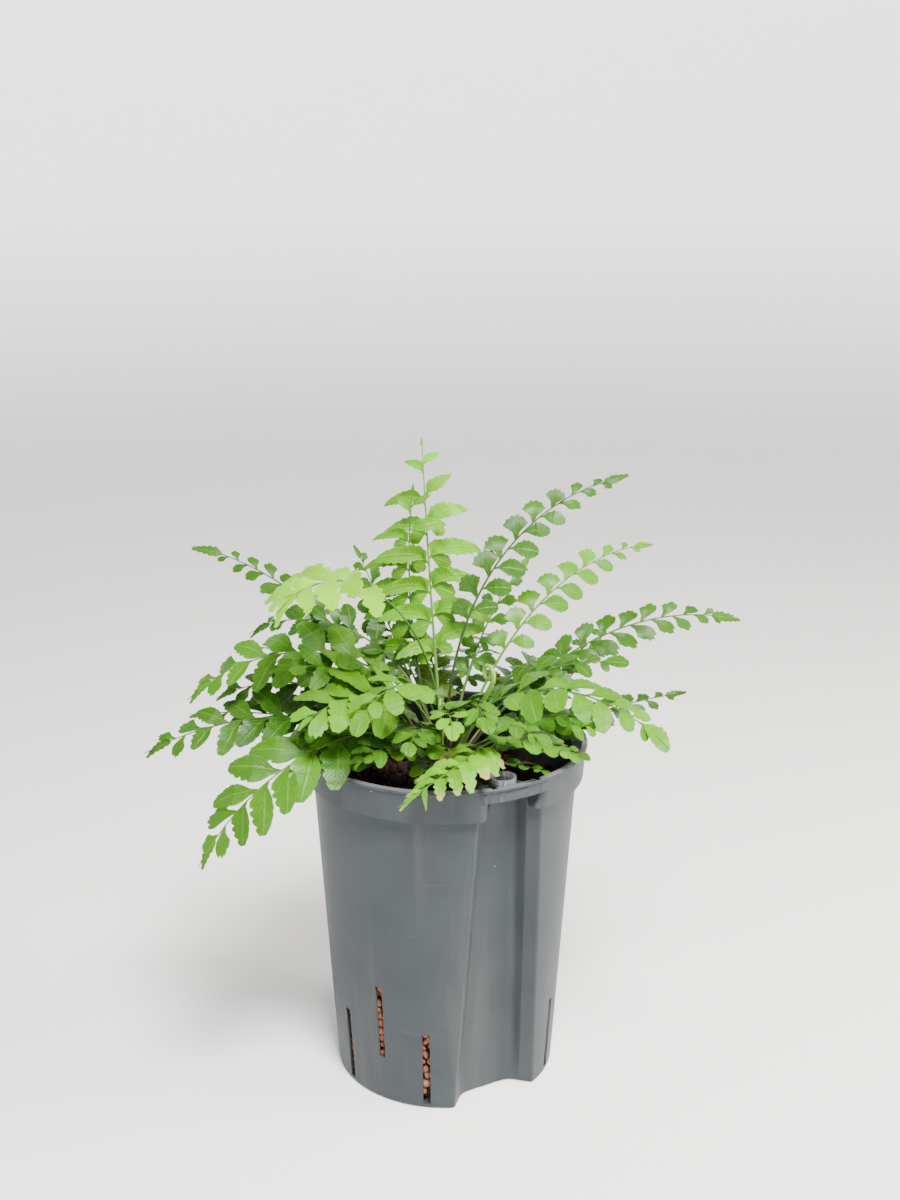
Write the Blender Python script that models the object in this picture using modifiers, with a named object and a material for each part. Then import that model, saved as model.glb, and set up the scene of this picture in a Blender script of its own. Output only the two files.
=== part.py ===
"""A young fern growing in a slotted hydroculture pot.

The pot is one thin moulding: a tapered wall with a collar, a row of water slots near its foot
and, at one side, an upright channel with a guide ring above it for a water gauge.
It is filled with clay granules.  The fern's crown sits on them and sends out its fronds, each
a stalk with leaflets on both sides, and a few fiddleheads that are still rolled up.

Frame: +Z up, the origin at the centre of the pot's foot, +X to the right, +Y to the back.
"""
import math
from dataclasses import dataclass

import bmesh
import bpy
from mathutils import Matrix, Vector
from mathutils.bvhtree import BVHTree

MM = 0.001
TOUCH_GAP = 0.3 * MM

# Pot
POT_HEIGHT = 190 * MM
FOOT_RADIUS = 60.5 * MM
SHOULDER_RADIUS = 71.5 * MM
COLLAR_FOOT_RADIUS = 75.2 * MM
COLLAR_TOP_RADIUS = 76.4 * MM
LIP_RADIUS = 77.2 * MM
LIP_HEIGHT = 2.4 * MM
COLLAR_FOOT = 172 * MM
BRIDGE_FOOT = 182 * MM
WALL = 1.2 * MM
FLOOR = 2.0 * MM
RIM_INSIDE = 73.8 * MM
FOOT_CHAMFER = 0.8 * MM
RIM_ROUNDING = 0.6 * MM
CIRCLE_STEPS = 60

# Channel for the water gauge, in the pot's wall
CHANNEL_HEADING = math.radians(-61)
CHANNEL_HALF_WIDTH_FOOT = 24.5 * MM
CHANNEL_HALF_WIDTH_TOP = 18.5 * MM
CHANNEL_BACK_FOOT = 44 * MM
CHANNEL_BACK_TOP = 55.5 * MM
CHANNEL_FACET = 5.4 * MM
CHANNEL_FLANK = math.radians(20)
CHANNEL_CORNER_ROUNDING = 2 * MM
CHANNEL_KNEE_ROUNDING = 3 * MM
CHANNEL_BACK_ROUNDING = 5 * MM
FLARE_LEVELS = (2.5 * MM, 5 * MM, 8 * MM, 12 * MM, 16 * MM)
FLARE_DEPTH = 1.5 * MM
FLARE_TURN = math.radians(28)
FLARE_ROUNDING = 7 * MM
SHARPEST_ROUNDING = 0.6 * MM
COLLAR_END_FROM_KNEE = 1.4 * MM
COLLAR_END_SLOPE = 0.8 * MM
COLLAR_END_ROUNDING = 3 * MM

# Guide ring of the water gauge
RING_HEADING = math.radians(-64)
RING_OFFSET = 67 * MM
RING_RADIUS = 7 * MM
RING_BORE = 5.8 * MM
RING_TOP = 192 * MM
RING_FOOT = BRIDGE_FOOT + WALL / 2
CUT_MARGIN = 4 * MM

# Water slots
SLOT_WIDTH = 4.0 * MM
SLOT_CUT_DEPTH = 14 * MM
SLOT_LENGTH = 43 * MM
SLOT_COUNT = 13
SLOT_LOW_FOOT = 2.4 * MM
SLOT_HIGH_FOOT = 26.5 * MM
FIRST_SLOT_FROM_CHANNEL = math.radians(38)

# Filling and crown
GRANULE_TOP = 163 * MM
CROWN_RADIUS = 19 * MM
CROWN_HEIGHT = 22 * MM

# Fronds
BLADE_THICKNESS = 0.6 * MM
STALK_WIDTH = 1.8 * MM
STALK_STEPS = 120
BARE_SEGMENTS = 3
CLEARANCE = 0.85 * MM
TRIAL_LENGTHS = (1.0, 0.75, 0.5)
TRIAL_LIFTS = (-8, 10, -26, 28, -44, 46)

# Fiddleheads
FIDDLEHEAD_STEM_RADIUS = 0.85 * MM
COIL_STEPS = 18
COIL_TIGHTENING = 0.72


@dataclass(frozen=True)
class Frond:
    """One frond: where it heads, how it arches, and its leaflets.

    Angles are in degrees and lengths in millimetres.  rise is the stalk's slope where it
    leaves the crown, tip its slope at the far end, late how long the bend waits, and sway how
    far the heading turns on the way.  turn rolls the blade about its stalk.
    """

    name: str
    heading: float
    rise: float
    tip: float
    length: float
    leaflet: float
    pairs: int
    late: float = 1.2
    sway: float = 0
    turn: float = 0
    bare: float = 0.36


FRONDS = (
    # the upright pair in the middle
    Frond("frond_upright_front", 114, 79, 84, 166, 34, 7, sway=2, turn=25, bare=0.28),
    Frond("frond_upright_back", 142, 70, 99, 145, 31, 6, late=1.0, turn=50, bare=0.34),
    # right side, from the highest to the lowest
    Frond("frond_right_high", 24, 88, 4, 193, 17, 9, late=1.4, sway=-8, turn=-55, bare=0.36),
    Frond("frond_right_mid", 19, 67, -6, 168, 16, 8, late=1.7, sway=7, turn=-50, bare=0.34),
    Frond("frond_right_inner", 57, 70, 22, 123, 15, 6, sway=-4, turn=-35, bare=0.3),
    Frond("frond_right_long", 6, 52, -19, 178, 17, 9, late=1.5, sway=4, turn=-50, bare=0.34),
    Frond("frond_right_small", 22, 28, 52, 100, 11, 6, turn=-50, bare=0.34),
    Frond("frond_right_low", 4, 28, 7, 122, 14, 7, turn=-45, bare=0.34),
    Frond("frond_right_front", -32, 71, -39, 148, 22, 7, late=0.85, turn=-20, bare=0.28),
    # left side, from the highest to the lowest
    Frond("frond_left_far", 161, 57, 8, 176, 15, 9, late=1.5, sway=4, turn=50, bare=0.36),
    Frond("frond_left_shade", 167, 76, -35, 141, 18, 6, late=1.3, sway=4, turn=40, bare=0.3),
    Frond("frond_left_bright", 196, 86, -40, 180, 28, 4, late=1.6, sway=40, bare=0.60),
    Frond("frond_left_mid", 188, 78, -45, 165, 25, 7, late=0.9, sway=-2, turn=35, bare=0.28),
    Frond("frond_left_dark", 181, 52, -28, 126, 21, 6, turn=40, bare=0.28),
    Frond("frond_left_low", 192, 42, -27, 155, 23, 7, late=0.9, turn=35, bare=0.28),
    Frond("frond_left_back_low", 177, 33, -8, 128, 19, 6, late=0.9, sway=2, turn=45, bare=0.28),
    Frond("frond_left_drooping", 217, 61, -57, 162, 29, 7, late=0.6, sway=-9, turn=25, bare=0.28),
    # towards the back
    Frond("frond_back_left_high", 134, 62, 53, 120, 18, 6, turn=45, bare=0.34),
    Frond("frond_back_1", 44, 40, -20, 140, 18, 7, turn=-30, bare=0.26),
    Frond("frond_back_2", 60, 34, -25, 135, 17, 7, turn=-20, bare=0.26),
    Frond("frond_back_3", 76, 44, -35, 145, 18, 7, turn=-10, bare=0.26),
    Frond("frond_back_4", 92, 32, -20, 135, 18, 7, bare=0.26),
    Frond("frond_back_5", 108, 42, -30, 145, 18, 7, turn=10, bare=0.26),
    Frond("frond_back_6", 124, 30, -20, 130, 18, 7, turn=20, bare=0.26),
    Frond("frond_back_7", 146, 40, -15, 145, 18, 7, turn=35, bare=0.26),
    # inner ones that fill the middle
    Frond("frond_front_mid", -118, 79, -40, 118, 20, 5, late=1.1, bare=0.36),
    Frond("frond_front_left", -140, 66, -35, 108, 30, 5, turn=15, bare=0.3),
    Frond("frond_front_right", -76, 58, -25, 98, 14, 6, sway=44, bare=0.3),
    Frond("frond_right_inner_low", -10, 64, -10, 112, 18, 5, turn=-30, bare=0.28),
    Frond("frond_left_inner", 200, 66, -10, 112, 21, 5, turn=25, bare=0.28),
    Frond("frond_back_inner", 100, 64, 10, 72, 12, 5, bare=0.28),
    # short ones between them, low over the granules
    Frond("frond_inner_1", -159, 51, -27, 97, 19, 5, late=1.0, sway=12, bare=0.3),
    Frond("frond_inner_2", -143, 49, -14, 74, 16, 5, late=0.8, turn=16, bare=0.3),
    Frond("frond_inner_3", -123, 47, -14, 76, 17, 5, late=1.0, bare=0.3),
    Frond("frond_inner_4", -109, 58, -22, 78, 17, 5, sway=12, bare=0.3),
    Frond("frond_inner_5", -86, 48, -26, 72, 15, 5, sway=-6, bare=0.3),
    Frond("frond_inner_6", -67, 76, -25, 93, 17, 5, late=1.0, sway=-12, bare=0.3),
    Frond("frond_inner_7", -36, 53, -23, 80, 15, 5, late=0.8, bare=0.3),
    Frond("frond_inner_8", -18, 49, -18, 89, 13, 6, sway=-6, turn=-20, bare=0.3),
    Frond("frond_inner_9", -4, 44, -19, 79, 14, 5, late=1.0, turn=-20, bare=0.3),
    Frond("frond_inner_10", 35, 56, -29, 96, 16, 5, sway=12, bare=0.3),
    Frond("frond_inner_11", 126, 51, -22, 90, 16, 5, late=0.8, sway=12, bare=0.3),
    Frond("frond_inner_12", 170, 45, -19, 77, 17, 5, late=1.0, sway=12, turn=20, bare=0.3),
    # short ones in front, over the rim
    Frond("frond_front_cluster", -87, 65, -20, 88, 13, 4, bare=0.5),
    Frond("frond_front_leaf", -119, 68, -34, 58, 14, 2, bare=0.5),
    Frond("frond_front_rim", -52, 46, -34, 118, 20, 7, late=1.0, sway=-112, bare=0.40),
    Frond("frond_rim_right", -27, 40, -24, 75, 11, 6, bare=0.24),
    Frond("frond_front_low", -100, 38, -20, 58, 11, 4, bare=0.3),
    Frond("frond_ring_side", -41, 30, -8, 58, 9, 4, bare=0.3),
)

COLOURS = {
    "anthracite": ((0.150, 0.165, 0.168), 0.52),
    "fired_clay": ((0.230, 0.075, 0.035), 0.90),
    "crown_brown": ((0.050, 0.028, 0.016), 0.85),
    "leaf_green": ((0.200, 0.440, 0.105), 0.45),
}


# ---------------------------------------------------------------- helpers

def clear_scene():
    """Empty the scene, so that it holds this object alone."""
    for old in list(bpy.data.objects):
        bpy.data.objects.remove(old, do_unlink=True)


def make_collection(name):
    """Return a new collection in the scene."""
    collection = bpy.data.collections.new(name)
    bpy.context.scene.collection.children.link(collection)
    return collection


def make_material(name):
    """Return a material with its listed colour and roughness."""
    colour, roughness = COLOURS[name]
    material = bpy.data.materials.new(name)
    material.use_nodes = True
    shader = material.node_tree.nodes["Principled BSDF"]
    shader.inputs["Base Color"].default_value = (*colour, 1)
    shader.inputs["Roughness"].default_value = roughness
    shader.inputs["Metallic"].default_value = 0
    return material


def make_object(name, mesh, collection, material=None):
    """Return an object that shows a mesh in a collection."""
    thing = bpy.data.objects.new(name, mesh)
    collection.objects.link(thing)
    if material:
        mesh.materials.append(material)
    return thing


def mesh_from(bm, name):
    """Turn a bmesh into a named mesh."""
    mesh = bpy.data.meshes.new(name)
    bm.to_mesh(mesh)
    bm.free()
    return mesh


def hide_cutter(thing):
    """Mark an object as a tool that isn't part of the model."""
    thing.hide_render = True
    thing.display_type = "WIRE"


def add_boolean(thing, other, operation):
    """Cut another object from a thing, or join it on."""
    boolean = thing.modifiers.new(operation.lower(), "BOOLEAN")
    boolean.operation = operation
    boolean.solver = "EXACT"
    boolean.object = other


def at_height(foot, top, z):
    """A size that changes evenly from the pot's foot to the collar's foot."""
    return foot + (top - foot) * z / COLLAR_FOOT


# ---------------------------------------------------------------- pot

def crossing(point_a, along_a, point_b, along_b):
    """Where two lines of the plan cross."""
    det = along_a.x * -along_b.y + along_b.x * along_a.y
    gap = point_b - point_a
    step = (gap.x * -along_b.y + along_b.x * gap.y) / det
    return point_a + along_a * step


def fillet(before, corner, after, radius, steps):
    """Points of the arc that rounds a corner between two straight lines."""
    back = (before - corner).normalized()
    ahead = (after - corner).normalized()
    half = back.angle(ahead) / 2
    reach = radius / math.tan(half)
    centre = corner + (back + ahead).normalized() * radius / math.sin(half)
    start = (corner + back * reach - centre).normalized()
    end = (corner + ahead * reach - centre).normalized()
    return [centre + start.slerp(end, i / steps) * radius for i in range(steps + 1)]


def foot_flare(z):
    """How strongly the channel flares at a height: fully at the foot, not at all above it."""
    return max(0.0, 1 - z / FLARE_LEVELS[-1]) ** 2


class ChannelSide:
    """Half of the channel's plan at one height, from the pot's wall in to its back.

    The plan's x runs outwards through the channel's middle and its y sideways.  inset moves
    every line into the plastic, or out of it where it is negative.
    """

    def __init__(self, z, inset=0.0):
        radius = at_height(FOOT_RADIUS, SHOULDER_RADIUS, z)
        half_width = at_height(CHANNEL_HALF_WIDTH_FOOT, CHANNEL_HALF_WIDTH_TOP, z)
        flare = foot_flare(z)
        back = at_height(CHANNEL_BACK_FOOT, CHANNEL_BACK_TOP, z) + FLARE_DEPTH * flare
        corner = Vector((math.sqrt(radius**2 - half_width**2), half_width))
        self.facet_along = Vector((-1, -1)).normalized()
        facet_out = Vector((1, -1)).normalized()
        knee = corner + self.facet_along * CHANNEL_FACET * math.sqrt(2)
        flank_turn = CHANNEL_FLANK + FLARE_TURN * flare
        flank_along = Vector((-math.cos(flank_turn), -math.sin(flank_turn)))
        flank_out = Vector((math.sin(flank_turn), -math.cos(flank_turn)))

        self.radius = radius - inset
        facet = knee - facet_out * inset
        flank = knee - flank_out * inset
        self.knee = crossing(facet, self.facet_along, flank, flank_along)
        self.inner = crossing(flank, flank_along, Vector((back - inset, 0)), Vector((0, 1)))
        along = self.facet_along.dot(facet)
        reach = math.sqrt(self.radius**2 - (facet - self.facet_along * along).length_squared)
        self.corner = facet + self.facet_along * (-along - reach)
        self.wall_along = Vector((-self.corner.y, self.corner.x)).normalized()

    def corner_arc(self, radius):
        """The rounded outer corner."""
        return fillet(self.corner + self.wall_along, self.corner, self.knee, radius, 3)

    def inner_arcs(self, knee_radius, back_radius):
        """The two rounded corners between the facet and the channel's back."""
        middle = Vector((self.inner.x, 0))
        knee = fillet(self.corner, self.knee, self.inner, knee_radius, 2)
        return knee + fillet(self.knee, self.inner, middle, back_radius, 4)

    def on_facet(self, from_knee):
        """The point on the facet at a distance before the knee."""
        return self.knee - self.facet_along * from_knee


def collar_radius(z):
    """The collar's outer radius at a height."""
    share = (z - COLLAR_FOOT) / (POT_HEIGHT - COLLAR_FOOT)
    return COLLAR_FOOT_RADIUS + (COLLAR_TOP_RADIUS - COLLAR_FOOT_RADIUS) * share


def half_plan(z, inset, collar_end=None):
    """One side of the pot's plan: corner, collar's end and the way in to the channel's back.

    collar_end is how far before the knee the collar stops, or None below the collar.
    """
    side = ChannelSide(min(z, COLLAR_FOOT), inset)
    knee_rounding = max(CHANNEL_KNEE_ROUNDING - inset, SHARPEST_ROUNDING)
    back_rounding = CHANNEL_BACK_ROUNDING + FLARE_ROUNDING * foot_flare(z) + inset
    arcs = side.inner_arcs(knee_rounding, back_rounding)
    if collar_end is None:
        end = side.on_facet(COLLAR_END_FROM_KNEE)
        corner_rounding = max(CHANNEL_CORNER_ROUNDING - inset, SHARPEST_ROUNDING)
        return side.corner_arc(corner_rounding) + [end, end] + arcs
    outset = side.radius - collar_radius(z)
    collar = ChannelSide(COLLAR_FOOT, outset)
    stop = collar_end + COLLAR_END_FROM_KNEE
    ends = [collar.on_facet(stop + COLLAR_END_SLOPE), side.on_facet(stop)]
    return collar.corner_arc(CHANNEL_CORNER_ROUNDING - outset) + ends + arcs


def close_ring(half, z):
    """The whole plan at one height, from its half: round the wall, then through the channel."""
    first = math.atan2(half[0].y, half[0].x)
    radius = half[0].length
    ring = [half[0]]
    for i in range(1, CIRCLE_STEPS):
        angle = first + (2 * math.pi - 2 * first) * i / CIRCLE_STEPS
        ring.append(Vector((radius * math.cos(angle), radius * math.sin(angle))))
    ring += [Vector((point.x, -point.y)) for point in half]
    ring += reversed(half[1:])
    turn_x = Vector((math.cos(CHANNEL_HEADING), math.sin(CHANNEL_HEADING)))
    turn_y = Vector((-turn_x.y, turn_x.x))
    placed = [turn_x * point.x + turn_y * point.y for point in ring]
    return [Vector((point.x, point.y, z)) for point in placed]


def plan_ring(z, inset, collar_end=None):
    """The pot's plan at a height, which no longer widens above the collar's foot."""
    return close_ring(half_plan(z, inset, collar_end), z)


def round_ring(z, radius):
    """A full circle with as many points as the plan, level with them sideways."""
    half = half_plan(COLLAR_FOOT, 0, 0)
    on_circle = [Vector((math.sqrt(radius**2 - point.y**2), point.y)) for point in half]
    return close_ring(on_circle, z)


def loft(rings):
    """Skin closed rings of equal length in order, and close both ends."""
    bm = bmesh.new()
    rows = [[bm.verts.new(point) for point in ring] for ring in rings]
    count = len(rows[0])
    for lower, upper in zip(rows, rows[1:]):
        for i in range(count):
            j = (i + 1) % count
            bm.faces.new((lower[i], lower[j], upper[j], upper[i]))
    bm.faces.new(list(reversed(rows[0])))
    bm.faces.new(rows[-1])
    bmesh.ops.remove_doubles(bm, verts=bm.verts, dist=1e-6)
    bmesh.ops.triangulate(bm, faces=bm.faces)
    bmesh.ops.recalc_face_normals(bm, faces=bm.faces)
    return bm


def pot_rings():
    """Rings of the pot: up its outside, over the rim and down its inside to the floor."""
    rings = [plan_ring(0, FOOT_CHAMFER)]
    for z in (FOOT_CHAMFER, *FLARE_LEVELS, COLLAR_FOOT / 2, COLLAR_FOOT):
        rings.append(plan_ring(z, 0))
    for angle in (0, 30, 60, 90):
        rise = COLLAR_END_ROUNDING * (1 - math.cos(math.radians(angle)))
        setback = COLLAR_END_ROUNDING * (1 - math.sin(math.radians(angle)))
        rings.append(plan_ring(COLLAR_FOOT + rise, 0, setback))
    rings.append(plan_ring(BRIDGE_FOOT, 0, 0))
    lip_foot = POT_HEIGHT - LIP_HEIGHT
    rim = (
        (BRIDGE_FOOT, collar_radius(BRIDGE_FOOT)),
        (lip_foot, collar_radius(lip_foot)),
        (lip_foot + (LIP_RADIUS - collar_radius(lip_foot)), LIP_RADIUS),
        (POT_HEIGHT - RIM_ROUNDING, LIP_RADIUS),
        (POT_HEIGHT, LIP_RADIUS - RIM_ROUNDING),
        (POT_HEIGHT, RIM_INSIDE + RIM_ROUNDING),
        (POT_HEIGHT - RIM_ROUNDING, RIM_INSIDE),
        (BRIDGE_FOOT + WALL, RIM_INSIDE - RIM_ROUNDING),
    )
    for z, radius in rim:
        rings.append(round_ring(z, radius))
    rings.append(plan_ring(BRIDGE_FOOT + WALL, WALL))
    for z in (COLLAR_FOOT, *reversed(FLARE_LEVELS), FLOOR):
        rings.append(plan_ring(z, WALL))
    return rings


def cylinder_mesh(name, radius, low, high, centre, segments=32):
    """An upright cylinder's mesh."""
    bm = bmesh.new()
    place = Matrix.Translation((centre.x, centre.y, (low + high) / 2))
    size = {"radius1": radius, "radius2": radius, "depth": high - low}
    bmesh.ops.create_cone(bm, cap_ends=True, segments=segments, matrix=place, **size)
    return mesh_from(bm, name)


def slot_mesh(name, heading, low):
    """A box through the wall that cuts one water slot."""
    bm = bmesh.new()
    bmesh.ops.create_cube(bm, size=1)
    radius = at_height(FOOT_RADIUS, SHOULDER_RADIUS, low + SLOT_LENGTH / 2)
    along = Vector((math.cos(heading), math.sin(heading), 0))
    across = Vector((-along.y, along.x, 0))
    for vert in bm.verts:
        place = along * (radius + vert.co.x * SLOT_CUT_DEPTH) + across * vert.co.y * SLOT_WIDTH
        vert.co = place + Vector((0, 0, low + SLOT_LENGTH * (vert.co.z + 0.5)))
    return mesh_from(bm, name)


def build_pot(parts, cutters, material):
    """The pot with its channel, collar, guide ring and slots."""
    pot = make_object("culture_pot", mesh_from(loft(pot_rings()), "culture_pot"), parts, material)
    centre = Vector((math.cos(RING_HEADING), math.sin(RING_HEADING))) * RING_OFFSET

    ring = cylinder_mesh("ring_body", RING_RADIUS, RING_FOOT, RING_TOP, centre)
    bore_ends = (BRIDGE_FOOT - CUT_MARGIN, RING_TOP + CUT_MARGIN)
    bore = cylinder_mesh("ring_bore", RING_BORE, *bore_ends, centre)
    for mesh, operation in ((ring, "UNION"), (bore, "DIFFERENCE")):
        tool = make_object(mesh.name, mesh, cutters)
        hide_cutter(tool)
        add_boolean(pot, tool, operation)

    spread = (2 * math.pi - 2 * FIRST_SLOT_FROM_CHANNEL) / (SLOT_COUNT - 1)
    for i in range(SLOT_COUNT):
        heading = CHANNEL_HEADING + FIRST_SLOT_FROM_CHANNEL + i * spread
        low = SLOT_HIGH_FOOT if i % 2 else SLOT_LOW_FOOT
        tool = make_object(f"slot_{i + 1}", slot_mesh(f"slot_{i + 1}", heading, low), cutters)
        hide_cutter(tool)
        add_boolean(pot, tool, "DIFFERENCE")
    return pot


def build_filling(parts, clay, brown):
    """The clay granules as one body, and the crown that sits on them."""
    inset = WALL + TOUCH_GAP
    heights = (FLOOR + TOUCH_GAP, *FLARE_LEVELS, GRANULE_TOP)
    rings = [plan_ring(z, inset) for z in heights]
    make_object("clay_granules", mesh_from(loft(rings), "clay_granules"), parts, clay)

    bm = bmesh.new()
    bmesh.ops.create_uvsphere(bm, u_segments=20, v_segments=10, radius=1)
    below = [vert for vert in bm.verts if vert.co.z < -0.01]
    bmesh.ops.delete(bm, geom=below, context="VERTS")
    rim = [edge for edge in bm.edges if edge.is_boundary]
    bmesh.ops.contextual_create(bm, geom=rim)
    for vert in bm.verts:
        vert.co = (vert.co.x * CROWN_RADIUS, vert.co.y * CROWN_RADIUS, vert.co.z * CROWN_HEIGHT)
        vert.co.z += GRANULE_TOP + TOUCH_GAP
    bmesh.ops.recalc_face_normals(bm, faces=bm.faces)
    make_object("crown", mesh_from(bm, "crown"), parts, brown)


# ---------------------------------------------------------------- fronds

def crown_point(heading, rise, proud):
    """A point just above the crown's dome, in a direction from its middle."""
    flat = math.cos(rise) * (CROWN_RADIUS + proud)
    up = math.sin(rise) * (CROWN_HEIGHT + proud)
    return Vector((flat * math.cos(heading), flat * math.sin(heading), GRANULE_TOP + TOUCH_GAP + up))


def frond_line(frond, shares):
    """Frames along a frond's stalk: point, direction and sideways direction at each share."""
    heading = math.radians(frond.heading)
    rise = math.radians(frond.rise)
    point = crown_point(heading, rise, TOUCH_GAP)
    frames = []
    wanted = list(shares)
    for i in range(STALK_STEPS + 1):
        share = i / STALK_STEPS
        slope = rise + (math.radians(frond.tip) - rise) * share**frond.late
        course = heading + math.radians(frond.sway) * share
        flat = Vector((math.cos(course), math.sin(course), 0))
        along = flat * math.cos(slope) + Vector((0, 0, math.sin(slope)))
        across = Vector((flat.y, -flat.x, 0))
        upper = across.cross(along)
        turn = math.radians(frond.turn)
        sideways = across * math.cos(turn) + upper * math.sin(turn)
        while wanted and share >= wanted[0] - 1e-9:
            frames.append((point.copy(), along, sideways))
            wanted.pop(0)
        point = point + along * frond.length * MM / STALK_STEPS
    return frames


def leaflet_reach(frond, share):
    """A leaflet's length at a share of the leafy stretch: longest below the middle."""
    swell = min(1.0, 0.78 + share)
    taper = 1 - share**2
    return frond.leaflet * MM * swell * max(taper, 0.22)


def leaflet_points(edge, out, along, reach, lift):
    """The two middle points and the tip of a leaflet that grows from a stalk's edge."""
    low, high = edge
    width = (high - low).length
    up = out.cross(along).normalized()
    lean = (out * 0.84 + along * 0.54).normalized()
    lean = (lean * math.cos(lift) + up * math.sin(lift)).normalized()
    middle = (low + high) / 2 + lean * reach * 0.5
    side = along * width * 0.44
    return [middle + side, middle - side, (low + high) / 2 + lean * reach]


def test_sheets(points, clearance):
    """A leaflet's outline, grown a little and laid at three levels, as triangles."""
    low, high, mid_high, mid_low, tip = points
    centre = (mid_high + mid_low) / 2
    normal = (mid_high - low).cross(mid_low - low).normalized()
    outline = [low, mid_low, tip, mid_high, high]
    grown = [point + (point - centre).normalized() * clearance for point in outline]
    grown[0] = low.lerp(mid_low, 0.25)
    grown[-1] = high.lerp(mid_high, 0.25)
    verts, faces = [], []
    for level in (-1, 0, 1):
        start = len(verts)
        verts += [point + normal * clearance * level for point in grown]
        faces += [(start, start + 1, start + 4), (start + 1, start + 3, start + 4)]
        faces += [(start + 1, start + 2, start + 3)]
    return verts, faces


class Thicket:
    """The stalks and leaflets grown so far, which a new leaflet must miss."""

    def __init__(self):
        self.sheets = {}

    def add(self, owner, verts, faces):
        """Remember a surface under its owner's name."""
        self.sheets.setdefault(owner, []).append(BVHTree.FromPolygons(verts, faces))

    def misses(self, owner, verts, faces):
        """Whether a surface clears everything that isn't its owner's."""
        new = BVHTree.FromPolygons(verts, faces)
        for other, trees in self.sheets.items():
            if other != owner and any(new.overlap(tree) for tree in trees):
                return False
        return True


def stalk_sheets(frond):
    """Two crossed strips along a frond's stalk, wide enough to keep others off it."""
    frames = frond_line(frond, [i / 24 for i in range(25)])
    verts, faces = [], []
    half = STALK_WIDTH / 2 + CLEARANCE
    for turn in (0, 1):
        start = len(verts)
        for point, along, sideways in frames:
            out = sideways if turn else sideways.cross(along)
            verts += [point - out * half, point + out * half]
        for i in range(start, len(verts) - 2, 2):
            faces.append((i, i + 1, i + 3, i + 2))
    return verts, faces


def grow_frond(frond, thicket, parts, material):
    """Model one frond as a thin leafy sheet along its stalk.

    Each leaflet is grown out of the stalk's edge.  Where it would touch another frond it lifts
    or drops, then grows shorter, and is left off if nothing clears.
    """
    leafy = 1 - frond.bare
    shares = [frond.bare * i / BARE_SEGMENTS for i in range(BARE_SEGMENTS)]
    shares += [frond.bare + leafy * i / frond.pairs for i in range(frond.pairs + 1)]
    frames = frond_line(frond, shares)
    bm = bmesh.new()
    rows = []
    for share, (point, along, sideways) in zip(shares, frames):
        half = STALK_WIDTH / 2 * (1 - 0.5 * share)
        rows.append([bm.verts.new(point - sideways * half), bm.verts.new(point + sideways * half)])
    for lower, upper in zip(rows, rows[1:]):
        bm.faces.new((lower[0], lower[1], upper[1], upper[0]))

    for i in range(frond.pairs):
        lower, upper = rows[BARE_SEGMENTS + i], rows[BARE_SEGMENTS + i + 1]
        _, along, sideways = frames[BARE_SEGMENTS + i]
        reach = leaflet_reach(frond, i / frond.pairs)
        for side, sign in ((0, -1), (1, 1)):
            edge = (lower[side], upper[side])
            placed = place_leaflet(frond, thicket, edge, sideways * sign, along, reach)
            if placed:
                mid_high, mid_low, tip = [bm.verts.new(point) for point in placed]
                bm.faces.new((edge[0], edge[1], mid_high, mid_low))
                bm.faces.new((mid_low, mid_high, tip))
    bmesh.ops.recalc_face_normals(bm, faces=bm.faces)
    thing = make_object(frond.name, mesh_from(bm, frond.name), parts, material)
    sheet = thing.modifiers.new("thickness", "SOLIDIFY")
    sheet.thickness = BLADE_THICKNESS
    sheet.offset = 0
    return thing


def place_leaflet(frond, thicket, edge, out, along, reach):
    """Find a leaflet that clears the thicket, add it there and return its new points."""
    low, high = (vert.co.copy() for vert in edge)
    for share in TRIAL_LENGTHS:
        for lift in TRIAL_LIFTS:
            points = leaflet_points((low, high), out, along, reach * share, math.radians(lift))
            verts, faces = test_sheets([low, high, *points], CLEARANCE)
            if thicket.misses(frond.name, verts, faces):
                thicket.add(frond.name, [low, high, *points], [(0, 1, 2, 3), (3, 2, 4)])
                return points
    return None


# ---------------------------------------------------------------- fiddleheads

@dataclass(frozen=True)
class Fiddlehead:
    """A young frond that is still rolled up, in degrees and millimetres."""

    name: str
    heading: float
    lean: float
    height: float
    coil: float
    turns: float


FIDDLEHEADS = (
    Fiddlehead("fiddlehead_front", -56, 57, 62, 4.6, 1.25),
    Fiddlehead("fiddlehead_left", 262, 68, 30, 3.6, 1.2),
)


def fiddlehead_line(fiddlehead):
    """Points along a fiddlehead, up its stalk and round its flat spiral, and its side."""
    heading = math.radians(fiddlehead.heading)
    lean = math.radians(fiddlehead.lean)
    start = crown_point(heading, lean, 2.5 * TOUCH_GAP)
    flat = Vector((math.cos(heading), math.sin(heading), 0))
    along = flat * math.cos(lean) + Vector((0, 0, math.sin(lean)))
    inwards = Vector((0, 0, 1)) * math.cos(lean) - flat * math.sin(lean)
    points = [start + along * fiddlehead.height * MM * i / 5 for i in range(6)]
    centre = points[-1] + inwards * fiddlehead.coil * MM
    for i in range(1, COIL_STEPS + 1):
        angle = 2 * math.pi * fiddlehead.turns * i / COIL_STEPS
        radius = fiddlehead.coil * MM * (1 - COIL_TIGHTENING * i / COIL_STEPS)
        points.append(centre - inwards * radius * math.cos(angle) + along * radius * math.sin(angle))
    return points, along.cross(inwards)


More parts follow.
